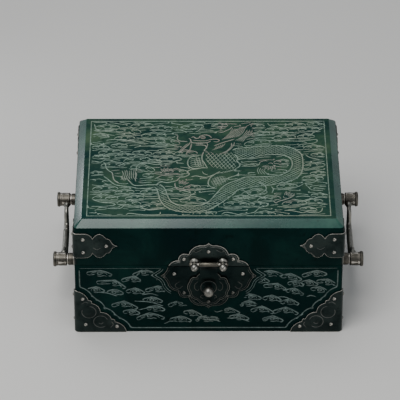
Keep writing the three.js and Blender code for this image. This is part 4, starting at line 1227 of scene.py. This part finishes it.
# The same for smaller clouds that fill the room between them, in millimetres
CLOUDS_BETWEEN = [
    ((-108.0, 48.0), (-101.0, 50.0), (-95.0, 47.0)), ((-34.0, 14.6), (-25.0, 17.4), (-17.0, 13.8)),
    ((-73.0, 46.4), (-66.0, 48.6), (-59.0, 45.0)), ((-58.0, 36.8), (-50.6, 38.8), (-43.0, 35.4)),
    ((-90.0, 45.6), (-84.6, 47.2), (-78.0, 44.4)), ((-46.0, 60.0), (-40.6, 61.8), (-35.4, 59.0)),
    ((-54.6, 27.4), (-47.6, 29.2), (-41.0, 26.2)), ((50.0, 38.4), (57.0, 40.6), (64.0, 36.6)),
    ((42.0, 32.0), (36.0, 34.6), (30.0, 31.4)), ((66.0, 34.0), (73.0, 36.4), (80.0, 32.4)),
    ((8.0, 15.6), (-2.0, 17.6), (-10.0, 14.6)), ((20.0, 17.6), (27.6, 19.4), (35.0, 16.0)),
    ((84.0, 55.6), (90.0, 57.4), (96.6, 53.8)), ((42.0, 58.6), (47.0, 60.4), (53.0, 57.4)),
    ((50.0, 15.0), (58.0, 17.6), (66.0, 13.6)), ((72.0, 55.0), (78.0, 56.8), (84.0, 53.4)),
    ((-76.0, 23.4), (-69.4, 25.0), (-63.6, 22.2)),
]
# The long wisps of the front, in pixels of the photograph
WISPS_SEEN = [
    [(96.5, 292), (107, 293), (117, 296)], [(134, 301), (150, 302), (163.5, 306)],
    [(138, 310), (147, 308), (156, 307)], [(262, 320), (271, 318), (280, 318.5)],
    [(227, 318), (238, 318), (249.6, 321.4)], [(164, 323.7), (171, 321), (178, 321.4)],
]
# More wisps, in millimetres
WISPS_BETWEEN = [
    [(-60.0, 41.0), (-52.0, 42.4), (-45.0, 40.0)], [(88.0, 38.5), (92.0, 40.2), (97.0, 38.6)],
    [(-3.0, 12.6), (4.0, 13.8), (11.0, 10.8)], [(60.0, 38.0), (68.0, 38.6), (76.0, 35.0)],
]


def seen_on_front(pixels):
    """Where pixels of the photograph lie on the box's front, to a tenth of a millimetre."""
    right, up, ahead = camera_axes()
    place = arr(CAMERA_PLACE)
    out = []
    for x, y in arr(pixels) - PHOTO_PIXELS / 2:
        way = ahead + right * x / FOCAL_PIXELS - up * y / FOCAL_PIXELS
        hit = place + way * ((FRONT - place[1]) / way[1])
        out.append((round(hit[0], 1), round(hit[2], 1)))
    return out


def side_clouds(face, half, rng):
    """Rows of clouds, staggered, on one of the three plain sides."""
    rows, pitch = (4, 34) if face == "back" else (5, 26)
    out = []
    for k in range(rows):
        z = 12 + (BODY - 20) * k / (rows - 1)
        x = -half + 12 + 9 * (k % 2)
        while x < half - 10:
            cx, cz = x + rng.uniform(-2, 2), z + rng.uniform(-1.6, 1.6)
            w = rng.uniform(8.5, 10.5)
            peak = (cx, cz + rng.uniform(0.2, 1.4))
            out += front_cloud((cx - w, cz - 2.6), peak, (cx + w * 0.95, cz - 3.2))
            x += pitch + rng.uniform(-2, 3)
    return out


def front_strokes(panel):
    """The border of the front, which leads round the lock, and the clouds clear of it."""
    lock = lock_outline() + arr([0, LOCK_Z])
    near = inset(lock, -2.9)
    ban = inset(lock, -5.9)
    seam = BODY - 3.4
    strokes = closed_strokes(panel, 1.0, 0.4, lambda p: ~inside(p, near) & (p[:, 1] < seam))
    strokes += closed_strokes(panel, 0.3, 0.16, lambda p: ~inside(p, near) & (p[:, 1] > seam))
    for edge in (near, inset(lock, -4.9)):
        strokes += closed_strokes(edge, 0.5, 0.2, lambda p: (p[:, 1] < BODY - 3.2) & (np.abs(p[:, 0]) > 33))
    clouds = [seen_on_front(c) for c in CLOUDS_SEEN] + CLOUDS_BETWEEN
    wisps = [seen_on_front(w) for w in WISPS_SEEN] + WISPS_BETWEEN
    drawn = [s for c in clouds for s in front_cloud(*c)]
    drawn += [Stroke(smooth(points, 0.9), 0.9, 0.36, 2.0) for points in wisps]
    return strokes + clipped(drawn, lambda p: in_panel(p, panel) & ~inside(p, ban))


def in_panel(p, panel):
    return inside(p, panel) & (distance_to(p, panel) > 1.3)


def make_body():
    rng = random.Random(11)
    b = Build()
    z0, z1 = 0.6, BODY - 0.45
    rows = rings((0.6, CORNER, 0), (0.2, CORNER, 0.2), (0, CORNER, z0),
                 (0, CORNER, z1), (0.12, CORNER, BODY - 0.1), (0.45, CORNER, BODY))
    flats = {(2, c * (CORNER_STEPS + 1) + CORNER_STEPS) for c in range(4)}
    loft(b, rows, PLAIN, skip=flats, cap_low=True)
    hollow(b, 0.45, BODY, BASE, -1)
    for face, (half, place) in FACES.items():
        x = half - CORNER
        panel = panel_outline(half)
        if face == "front":
            strokes = front_strokes(panel)
        else:
            clouds = clipped(side_clouds(face, half, rng), lambda p: in_panel(p, panel))
            strokes = closed_strokes(panel, 1.0, 0.4) + clouds
        sheet_faces(b, arr([(-x, z0), (x, z0), (x, z1), (-x, z1)]), strokes, place)
    # the body's outside and its engraved lines are in the darker copies: painted shade
    finish(b, "jade_body", "box", "box_body", [JADE_SIDE_PAINTED_SHADE, LINE_SIDE_PAINTED_SHADE, JADE_IN])


# Metal plates

def lock_outline():
    half = doubled(scallops(scaled(LOCK, *LOCK_SIZE)), [1, -1])
    return np.vstack([half, half[1:-1][::-1] * arr([-1, 1])])[::-1]


def plate(build, outline, place, thick=PLATE, strokes=(), rim=0.34, seam=None):
    """A plate on a counter-clockwise outline, with a soft bright rim that stays dark along a seam."""
    outline = arr(outline)
    n = len(outline)
    top = inset(outline, rim)
    mid = inset(outline, rim * 0.3)
    levels = [(outline, 0.0), (outline, thick - rim), (mid, thick - rim * 0.3), (top, thick)]
    rows = [place(p, np.full(n, h)) for p, h in levels]
    bright = [PLAIN if seam is not None and abs(z - seam) < 0.5 else RIM for z in outline[:, 1]]
    around = [(i, (i + 1) % n, n + (i + 1) % n, n + i) for i in range(n)]
    build.add(np.vstack(rows[:3]), around + [[k + n for k in f] for f in around], [PLAIN] * n + bright)
    build.add(np.vstack(rows[2:]), around, bright)
    p, depth, tris = engraved_sheet(top, strokes)
    groove = depth[tris].mean(axis=1) > 0.012
    build.add(place(p, thick - depth), tris, np.where(groove, LINE, PLAIN), soft=False)
    back, _, back_tris = engraved_sheet(outline, [])
    build.add(place(back, np.zeros(len(back))), back_tris[:, ::-1], PLAIN, soft=False)


def split_long(poly, step):
    """A closed outline with its long edges divided."""
    out = []
    for a, b in zip(poly, np.roll(poly, -1, 0)):
        count = max(1, int(np.hypot(*(b - a)) / step))
        for k in range(count):
            out.append(a + (b - a) * k / count)
    return arr(out)


def corner_place(sx, sy):
    """Wraps a drawing round an upright corner: u is the way from the edge, below 0 on the front or back."""
    def place(p, h):
        u, z = p[:, 0], p[:, 1]
        h = h + SEAT
        s = np.abs(u)
        phi = np.where(s < CORNER, (1 - s / CORNER) * math.pi / 4, 0)
        cx, cy = W / 2 - CORNER, -D / 2 + CORNER
        rr = CORNER + h
        fx = np.where(s < CORNER, cx + rr * np.sin(phi), W / 2 - s)
        fy = np.where(s < CORNER, cy - rr * np.cos(phi), -D / 2 - h)
        gx = np.where(s < CORNER, cx + rr * np.cos(phi), W / 2 + h)
        gy = np.where(s < CORNER, cy - rr * np.sin(phi), -D / 2 + s)
        x = np.where(u < 0, fx, gx)
        y = np.where(u < 0, fy, gy)
        return np.column_stack([x * sx, y * sy, z])
    return place


def add_rivet(build, place, u, z, base, radius=RIVET_R, height=RIVET_RISE, slot=RIM):
    """A rivet on a placed plate, with a small bright head."""
    p, f = dome(radius, height)
    build.add(place(arr([u, z]) + p[:, :2], p[:, 2] + base), f, slot)


def folded_outline(half):
    """Both faces of a bracket laid flat, from the outline of one face."""
    outline = np.vstack([half, half[::-1] * arr([-1, 1])])
    keep = [0]
    for i in range(1, len(outline)):
        if np.hypot(*(outline[i] - outline[keep[-1]])) > 1e-3:
            keep.append(i)
    outline = outline[keep]
    if np.hypot(*(outline[0] - outline[-1])) < 1e-3:
        outline = outline[:-1]
    return split_long(counter_clockwise(outline), 0.8)


def curl(width, depth, *points):
    """A short incised scroll."""
    return Stroke(smooth(points, 0.7), width, depth, 1.0)


def wrapped_plate(name, half, z_mid, rivets, strokes, node, body):
    """Four brackets, each folded round an upright corner."""
    outline = folded_outline(half) + arr([0, z_mid])
    low, high = outline[:, 1].min() + 1.0, outline[:, 1].max() - 1.0
    cuts = []
    for s in strokes:
        p = s.p + arr([0, z_mid])
        cuts += [Stroke(q, s.width, s.depth, 1.0) for q in (p, p * arr([-1, 1]))]
    # lines without depth, which divide the sheet where it bends
    for u in np.linspace(-CORNER, CORNER, 9):
        cuts.append(Stroke(smooth([(u, low), (u, high)], 2.5), 0.02, 0.0, 0))
    for corner, sx, sy in (("front_right", 1, 1), ("front_left", -1, 1), ("back_right", 1, -1),
                           ("back_left", -1, -1)):
        b = Build()
        place = corner_place(sx, sy)
        plate(b, outline, place, strokes=cuts)
        for u, v in rivets:
            for side in (-1, 1):
                add_rivet(b, place, side * u, z_mid + v, PLATE)
        if sx * sy < 0:
            b.f = [f[::-1] for f in b.f]
        finish(b, f"{name}_{corner}", body, f"{node}_{corner}", PLATE_BRASS, merge=0.003)


def make_brackets():
    scrolls = [curl(0.45, 0.14, (17.0, -1.6), (20.5, -3.8), (24.0, -2.0)),
               curl(0.4, 0.12, (33.0, 3.0), (35.2, 0.4), (33.0, -3.0))]
    half = doubled(scallops(scaled(LID_BRACKET, *LID_BRACKET_SIZE)), [1, -1])
    rivets = [(8.3, 6.9), (8.3, -6.9), (29.0, 0.0)]
    middle = LID_EDGE - 4.8 - LID_BRACKET_SIZE[1]
    wrapped_plate("lid_corner", half, middle, rivets, scrolls, "lid_bracket", "lid")
    edge = bracket_edge(0.7)
    half = np.vstack([edge[:-1], [(edge[-1, 0], SEAT), (0, SEAT)]])
    half = half[half[:, 1] >= SEAT - 1e-6]
    scrolls = [Stroke(arc(22.6, 12.1, 6.4, 0.3, 5.4, 0.8), 0.6, 0.2, 1.4),
               Stroke(arc(12.1, 22.6, 6.4, -3.6, 1.5, 0.8), 0.6, 0.2, 1.4),
               curl(0.5, 0.16, (20.4, 10.8), (22.8, 9.6), (25.2, 11.4)),
               curl(0.45, 0.14, (31.2, 5.2), (33.8, 9.0), (32.4, 12.2)),
               curl(0.45, 0.14, (5.2, 31.2), (9.0, 33.8), (12.2, 32.4))]
    rivets = [(6.8, 37.3), (9.0, 9.0), (37.3, 6.8)]
    wrapped_plate("body_corner", half, 0.0, rivets, scrolls, "body_bracket", "box")


def clear_of(stroke, level, above):
    """Whether a line is wholly on one side of a level, and not close to it."""
    z = stroke.p[:, 1]
    return ((z > level + 1.2) == above).all() and (np.abs(z - level) > 1.2).all()


def cut(poly, z, above):
    """The part of a closed outline above or below a level."""
    out = []
    for a, b in zip(poly, np.roll(poly, -1, 0)):
        ina = (a[1] >= z) == above
        inb = (b[1] >= z) == above
        if ina:
            out.append(a)
        if ina != inb:
            out.append(a + (z - a[1]) / (b[1] - a[1]) * (b - a))
    out = arr(out)
    return out[np.hypot(*(out - np.roll(out, 1, 0)).T) > 1e-3]


def make_lock():
    """The lock plate, in two parts that meet at the seam; the lower one is coloured darker as painted
    shade.
    """
    outline = split_long(lock_outline() + arr([0, LOCK_Z]), 0.8)

    def place(p, h):
        return np.column_stack([p[:, 0], FRONT - SEAT - h, p[:, 1]])

    scrolls = []
    for s in (-1, 1):
        for t in (-1, 1):
            outer = [(s * x, LOCK_Z + t * z) for x, z in ((26, 6), (30, 10), (27, 14), (23, 11))]
            inner = [(s * x, LOCK_Z + t * z) for x, z in ((6, 29), (11, 26), (14, 27.5))]
            scrolls += [curl(0.45, 0.14, *outer), curl(0.4, 0.12, *inner)]
    rivets_up = [(0, 26.3), (21.9, 18.4), (-21.9, 18.4)]
    rivets_low = [(30.7, 2.5), (-30.7, 2.5), (21.9, -18.4), (-21.9, -18.4)]
    for name, node, body, level, rivets, brass in (
            ("lock_lid", "lock_plate_upper", "lid", LID_LOW, rivets_up, PLATE_BRASS),
            ("lock_body", "lock_plate_lower", "box", BODY, rivets_low, PAINTED_SHADE_BRASS)):
        above = body == "lid"
        b = Build()
        part = split_long(cut(outline, level, above), 1.0)
        own = [s for s in scrolls if clear_of(s, level, above)]
        echo = closed_strokes(inset(part, 2.0)[::2], 0.42, 0.16, lambda p: np.abs(p[:, 1] - level) > 2.6)
        plate(b, part, place, strokes=own + echo, rim=0.5, seam=level)
        for x, v in rivets:
            # rivets below the middle take the rim slot, which on the lower plate is the dim brass of
            # painted shade
            add_rivet(b, place, x, LOCK_Z + v, PLATE, slot=RIM if v < 0 else TURNED)
        finish(b, name, body, node, brass + [BRASS_STUD], merge=0.003)


# Turned and bent fittings

def add_lathe(build, profile, matrix, sides, material=PLAIN):
    p, f = lathe(profile, sides)
    build.add(moved(p, matrix), f, material)


def both_ends(end):
    """A turned profile with the same form at its two ends, from the end at the negative side."""
    return end + [(r, -x) for r, x in end[::-1]]


def ball(radius, centre, start, steps):
    """The profile of a ball on a neck with the start's radius."""
    first = math.asin(min(1, start / radius))
    out = []
    for i in range(steps + 1):
        a = first + (math.pi - first) * i / steps
        out.append((radius * math.sin(a), centre - radius * math.cos(a)))
    out[-1] = (0, out[-1][1])
    return out


HASP_Z = BODY + 5.2
POST_X = 12.8
POST_Y = FRONT - SEAT - PLATE - SEAT
HASP_Y = POST_Y - 3.9
FLAP_Z = HASP_Z - 26.6
FLAP_BACK = FRONT - SEAT - PLATE - 0.6
FLAP_FACE = FLAP_BACK - 1.6


def facing():
    """Turns a form on the X axis so that it stands out to the front."""
    return Matrix.Rotation(-math.pi / 2, 4, "Z")


def hasp_studs():
    """The two posts that carry the hasp's rod, with their ball ends."""
    foot = [(0, 0), (4.1, 0), (4.2, 0.25), (4.18, 0.6), (3.95, 1.1), (3.5, 1.6), (2.9, 2.0), (2.7, 2.2),
            (2.55, 2.6), (2.5, 4.6), (2.55, 4.9), (2.75, 5.1), (2.75, 5.3), (2.3, 5.5)]
    for side, s in (("left", -1), ("right", 1)):
        b = Build()
        at = Matrix.Translation((s * POST_X, POST_Y, HASP_Z)) @ facing()
        add_lathe(b, foot + ball(3.65, 8.6, 2.2, 10), at, 36)
        finish(b, f"hasp_stud_{side}", "lid", f"hasp_post_{side}", STUD_BRASS)


def hasp_axle():
    b = Build()
    start = POST_X + 3.1
    half = start + 1.6
    end = [(0, -half), (1.0, -half + 0.05), (1.5, -half + 0.3), (1.78, -half + 0.7), (1.78, -start - 0.05),
           (1.15, -start)]
    add_lathe(b, both_ends(end), Matrix.Translation((0, HASP_Y, HASP_Z)), 24)
    finish(b, "hasp_axle", "lid", "hasp_rod", TURNED_BRASS)


def hasp_neck(build):
    """The neck, which swings back from the barrel to the plate."""
    outer = smooth([(HASP_Y - 1.5, HASP_Z - 1.3), (HASP_Y + 0.15, HASP_Z - 4.2),
                    (FLAP_FACE - 0.4, HASP_Z - 6.5), (FLAP_FACE, HASP_Z - 8.4),
                    (FLAP_FACE, FLAP_Z + 13.0)], 0.7)
    inner = outer + normals(outer) * 1.5
    inner[:, 0] = np.minimum(inner[:, 0], FLAP_BACK)
    widths = np.interp(outer[:, 1], [FLAP_Z + 13, HASP_Z - 9, HASP_Z - 2], [8.0, 7.95, 7.9])
    pts = []
    for (oy, oz), (iy, iz), w in zip(outer, inner, widths):
        face = oy - 0.12
        pts += [(-w, oy, oz), (-w + 0.5, face, oz), (w - 0.5, face, oz), (w, oy, oz), (w, iy, iz),
                (-w, iy, iz)]
    faces = []
    for i in range(len(outer) - 1):
        for k in range(6):
            j = (k + 1) % 6
            faces.append(((i + 1) * 6 + k, (i + 1) * 6 + j, i * 6 + j, i * 6 + k))
    faces.append(tuple(range(6)))
    faces.append(tuple(range(len(pts) - 6, len(pts)))[::-1])
    build.add(pts, faces, PLAIN)


def hasp_flap():
    """The barrel with its turned rings, the neck, and the lobed plate with an incised rim line."""
    b = Build()
    end = [(0, -8.65), (1.9, -8.65), (2.18, -8.4), (2.18, -7.6), (1.95, -7.3), (1.95, -6.9), (2.12, -6.6)]
    add_lathe(b, both_ends(end), Matrix.Translation((0, HASP_Y, HASP_Z)), 28, TURNED)
    hasp_neck(b)
    outline = doubled(scallops(scaled(FLAP, *FLAP_SIZE)), [-1, 1])[::-1]
    outline = split_long(outline, 0.9) + arr([0, FLAP_Z])

    def place(p, h):
        return np.column_stack([p[:, 0], FLAP_BACK - h, p[:, 1]])

    rim = inset(outline, 1.9)[::2]
    marks = clipped([Stroke(np.vstack([rim, rim[:1]]), 0.4, 0.12, 0)], lambda t: t[:, 1] < FLAP_Z + 11.5)
    for s in (-1, 1):
        for scroll in ([(9.5, 6.5), (12.2, 3.4), (12.6, -0.6), (10.2, -3.6), (8.2, -1.6)],
                       [(2.0, -9.2), (5.4, -8.4), (7.2, -10.6), (4.8, -12.4)]):
            marks.append(curl(0.45, 0.14, *[(s * x, FLAP_Z + z) for x, z in scroll]))
    marks.append(Stroke(arc(0, FLAP_Z, 7.1, 0, 2 * math.pi, 0.9), 0.6, 0.2, 0))
    plate(b, outline, place, thick=1.6, strokes=marks, rim=0.5)
    add_rivet(b, place, 0, FLAP_Z - 15.6, 1.6, 1.7, 1.1)
    # the flap is in the darker brass: painted shade
    finish(b, "hasp_plate", "hasp", "hasp_flap", PAINTED_SHADE_BRASS + [BRASS_BRIGHT])


def hasp_button():
    """The turned knob, on its rosette."""
    b = Build()
    at = Matrix.Translation((0, FLAP_FACE, FLAP_Z)) @ facing()
    rosette = [(0, -0.4), (1.6, -0.4), (1.6, 0.1), (5.0, 0.12), (5.2, 0.3), (5.1, 0.6), (4.3, 0.85),
               (3.7, 0.95), (3.6, 1.2), (2.6, 1.7), (2.35, 2.3), (2.3, 3.0), (0, 3.0)]
    add_lathe(b, rosette, at, 40)
    add_lathe(b, [(0, 2.6), (2.5, 2.62)] + ball(4.75, 6.74, 2.5, 14)[1:], at, 40, RIM)
    # the rosette is in the darker brass as painted shade; the ball stays bright
    finish(b, "hasp_button", "hasp", "hasp_knob", PAINTED_SHADE_BRASS[:2] + [BRASS_STUD])


def make_hasp():
    hasp_studs()
    hasp_axle()
    hasp_flap()
    hasp_button()


HANDLE_Z = BODY - 21.5
PIVOT_X = W / 2 + SEAT + 11.5
HANDLE_POST_Y = 48.5
BALL = 3.0
BEND = 5
DROP = 15.6
GRIP_SAG = 0.35


HANDLE_STUD = [
    (0, 0), (6.95, 0), (7.0, 0.3), (6.8, 0.9), (6.2, 1.3), (5.7, 1.6), (5.45, 2.2), (5.6, 3.0), (5.6, 6.2),
    (5.45, 6.9), (5.0, 7.2), (4.8, 7.4), (4.8, 8.0), (5.3, 8.25), (5.95, 8.35), (6.2, 8.7), (6.2, 9.6),
    (6.05, 9.75), (6.05, 9.95), (6.2, 10.1), (6.2, 15.6), (6.05, 15.75), (6.05, 15.95), (6.2, 16.1),
    (6.2, 17.6), (6.6, 17.85), (7.0, 18.3), (7.0, 19.4), (6.75, 20.0), (6.3, 20.5), (5.2, 20.6),
    (4.9, 20.35), (4.6, 20.35), (4.2, 20.55), (1.6, 20.6), (0, 20.6),
]


def handle_path():
    """One half of the bail, from its pin to the middle of the grip: along, up and radius."""
    face = HANDLE_POST_Y - 6.2
    centre = face - 0.3 - BALL
    arm = centre - BALL - 2.0
    grip = arm - 2 * BEND
    out = [(face + 2.2, 0, 0.0), (face + 2.2, 0, 1.5), (face - 0.15, 0, 1.55)]
    for t in np.linspace(0.35, math.pi - 0.45, 9):
        r = BALL * math.sin(t)
        out.append((centre + BALL * math.cos(t), 0, r if t < 2.2 else max(r, 1.9)))
    out.append((arm + 1.6, 0, 2.0))
    for t in np.linspace(0, 1, 8):
        a = math.pi / 2 + t * math.pi / 2
        out.append((arm + BEND * math.cos(a), BEND * math.sin(a) - BEND, 2.0 + 0.25 * t))
    for t in np.linspace(0, 1, 8):
        a = -t * math.pi / 2
        out.append((grip + BEND * math.cos(a), BEND - DROP + BEND * math.sin(a), 2.25 + 0.4 * t))
    beads = [(grip - 3, 2.66), (grip - 5.0, 2.9), (grip - 5.6, 2.55), (grip - 6.4, 2.95)]
    for y, r in beads + [(grip * 0.55, 2.9), (grip * 0.25, 2.98)]:
        out.append((y, -DROP - GRIP_SAG * (1 - (y / grip) ** 2), r))
    return out


def handle_loop(side, s):
    """The bail: a round bar along its path."""
    b = Build()
    half = arr(handle_path())
    whole = np.vstack([half, half[::-1] * arr([-1, 1, 1])])
    p, radii = whole[:, :2], whole[:, 2]
    across = normals(p)
    across[[0, 1, -2, -1]] = (0, -1)
    sides = 20
    pts, faces = [], []
    for (y, z), (ny, nz), r in zip(p, across, radii):
        for k in range(sides):
            a = 2 * math.pi * k / sides
            c, e = math.cos(a) * r, math.sin(a) * r
            pts.append((s * (PIVOT_X + c), y + ny * e, HANDLE_Z + z + nz * e))
    for i in range(len(p) - 1):
        for k in range(sides):
            j = (k + 1) % sides
            f = (i * sides + k, (i + 1) * sides + k, (i + 1) * sides + j, i * sides + j)
            faces.append(f[::-1] if s > 0 else f)
    b.add(pts, faces, PLAIN)
    finish(b, f"handle_loop_{side}", f"bail_{side}", f"handle_bail_{side}", STUD_BRASS, sharp=50)


def make_handles():
    for side, s in (("right", 1), ("left", -1)):
        turn = Matrix.Identity(4) if s > 0 else Matrix.Rotation(math.pi, 4, "Z")
        for end, y in (("front", -HANDLE_POST_Y), ("back", HANDLE_POST_Y)):
            b = Build()
            add_lathe(b, HANDLE_STUD, Matrix.Translation((s * (W / 2 + SEAT), y, HANDLE_Z)) @ turn, 44)
            finish(b, f"handle_stud_{side}_{end}", "box", f"handle_post_{side}_{end}", TURNED_BRASS,
                   sharp=40)
        handle_loop(side, s)


SEAM_Z = BODY + SEAM / 2
HINGE_X = 65.0
HINGE_Y = D / 2 + SEAT + 3.2
KNUCKLE = 12


def leaf_outline(up):
    """A hinge leaf, notched where the other leaf's knuckles are."""
    level = 3.4
    leaf = doubled(scallops(scaled(LEAF, *LEAF_SIZE)), [-1, 1])
    outer, inner, x = (level, 0.2, 5.85) if up else (0.2, level, 6.15)
    bottom = [(-18, outer), (-x, outer), (-x, inner), (x, inner), (x, outer), (18, outer)]
    poly = np.vstack([bottom, leaf[leaf[:, 1] > level + 0.3]]) * arr([1, 1 if up else -1])
    return split_long(counter_clockwise(poly), 0.9)


def knuckle(x0, x1):
    """A hinge's knuckle, with turned rings at its ends."""
    start = [(0, 0), (2.55, 0), (2.82, 0.3), (2.82, 1.0), (2.7, 1.2), (2.7, 1.45), (2.82, 1.65)]
    return [(r, x0 + x) for r, x in start] + [(r, x1 - x) for r, x in start[::-1]]


def hinge_leaf(side, s, up):
    t = 1 if up else -1
    b = Build()

    def place(p, h):
        return np.column_stack([-p[:, 0] + s * HINGE_X, D / 2 + SEAT + h, SEAM_Z + p[:, 1]])

    marks = [curl(0.6, 0.22, (-6, t * 12), (-3.4, t * 15.4), (0, t * 16.6), (3.4, t * 15.4), (6, t * 12)),
             Stroke(arc(0, t * 11.4, 2.3, 0, 2 * math.pi, 0.7), 0.55, 0.2, 0)]
    plate(b, leaf_outline(up), place, thick=1.2, strokes=marks)
    for x in (10.8, -10.8):
        add_rivet(b, place, x, t * 9.6, 1.2, 1.95, 1.2)
    for k in (0,) if up else (-1, 1):
        profile = knuckle(k * KNUCKLE - 5.85, k * KNUCKLE + 5.85)
        add_lathe(b, profile, Matrix.Translation((s * HINGE_X, HINGE_Y, SEAM_Z)), 28)
    name = "lid" if up else "body"
    finish(b, f"hinge_{name}_{side}", "lid" if up else "box", f"hinge_leaf_{name}_{side}", PLATE_BRASS)


def make_hinges():
    head = 18.3
    end = [(0, -head - 2.2), (1.1, -head - 2.05), (1.9, -head - 1.4), (2.2, -head - 0.7), (2.2, -head),
           (1.3, -head)]
    for side, s in (("left", -1), ("right", 1)):
        hinge_leaf(side, s, True)
        hinge_leaf(side, s, False)
        b = Build()
        add_lathe(b, both_ends(end), Matrix.Translation((s * HINGE_X, HINGE_Y, SEAM_Z)), 24)
        finish(b, f"hinge_axle_{side}", "box", f"hinge_pin_{side}", TURNED_BRASS)


make_lid()
make_body()
make_brackets()
make_lock()
make_hasp()
make_handles()
make_hinges()


# The floor, the light and the camera

def floor():
    m, tree, shader = nodes_of("floor")
    shader.inputs["Base Color"].default_value = (0.72, 0.71, 0.69, 1)
    shader.inputs["Roughness"].default_value = 0.75
    mesh = bpy.data.meshes.new("floor")
    reach = 4.0
    mesh.from_pydata([(x * reach, y * reach, 0) for x, y in ((-1, -1), (1, -1), (1, 1), (-1, 1))], [],
                     [(0, 1, 2, 3)])
    mesh.materials.append(m)
    o = bpy.data.objects.new("floor", mesh)
    bpy.context.scene.collection.objects.link(o)


def area_light(name, place, target, size, power, colour=(1, 1, 1)):
    data = bpy.data.lights.new(name, "AREA")
    data.shape = "RECTANGLE"
    data.size = size
    data.size_y = size
    data.energy = power
    data.color = colour
    o = bpy.data.objects.new(name, data)
    o.location = place
    o.rotation_euler = (Vector(target) - Vector(place)).to_track_quat("-Z", "Y").to_euler()
    bpy.context.scene.collection.objects.link(o)


def light():
    world = bpy.data.worlds.new("studio")
    world.use_nodes = True
    background = world.node_tree.nodes["Background"]
    background.inputs[0].default_value = (0.9, 0.95, 1.0, 1)
    background.inputs[1].default_value = 0.35
    bpy.context.scene.world = world
    warm = (1, 0.99, 0.97)
    area_light("key", (-0.35, -0.62, 1.25), (0, 0, 0.08), 0.8, 11, warm)
    area_light("back", (-0.15, 0.35, 1.3), (0, 0, 0.1), 0.8, 4, warm)
    # the small one gives the lid's left bevel its highlight
    area_light("left", (-0.39, 0.33, 0.16), (-0.116, -0.07, 0.116), 0.07, 0.16, (0.94, 0.97, 1))
    area_light("fill", (1.0, -1.2, 0.7), (0, 0, 0.05), 1.0, 3)


def camera():
    right, up, ahead = camera_axes()
    data = bpy.data.cameras.new("camera")
    data.sensor_width = SENSOR
    data.sensor_fit = "HORIZONTAL"
    data.lens = FOCAL_PIXELS / PHOTO_PIXELS * SENSOR
    data.clip_end = 50
    cam = bpy.data.objects.new("camera", data)
    turn = Matrix((right, up, -ahead)).transposed().to_4x4()
    cam.matrix_world = Matrix.Translation(Vector(CAMERA_PLACE) * MM) @ turn
    bpy.context.scene.collection.objects.link(cam)
    bpy.context.scene.camera = cam


floor()
light()
camera()
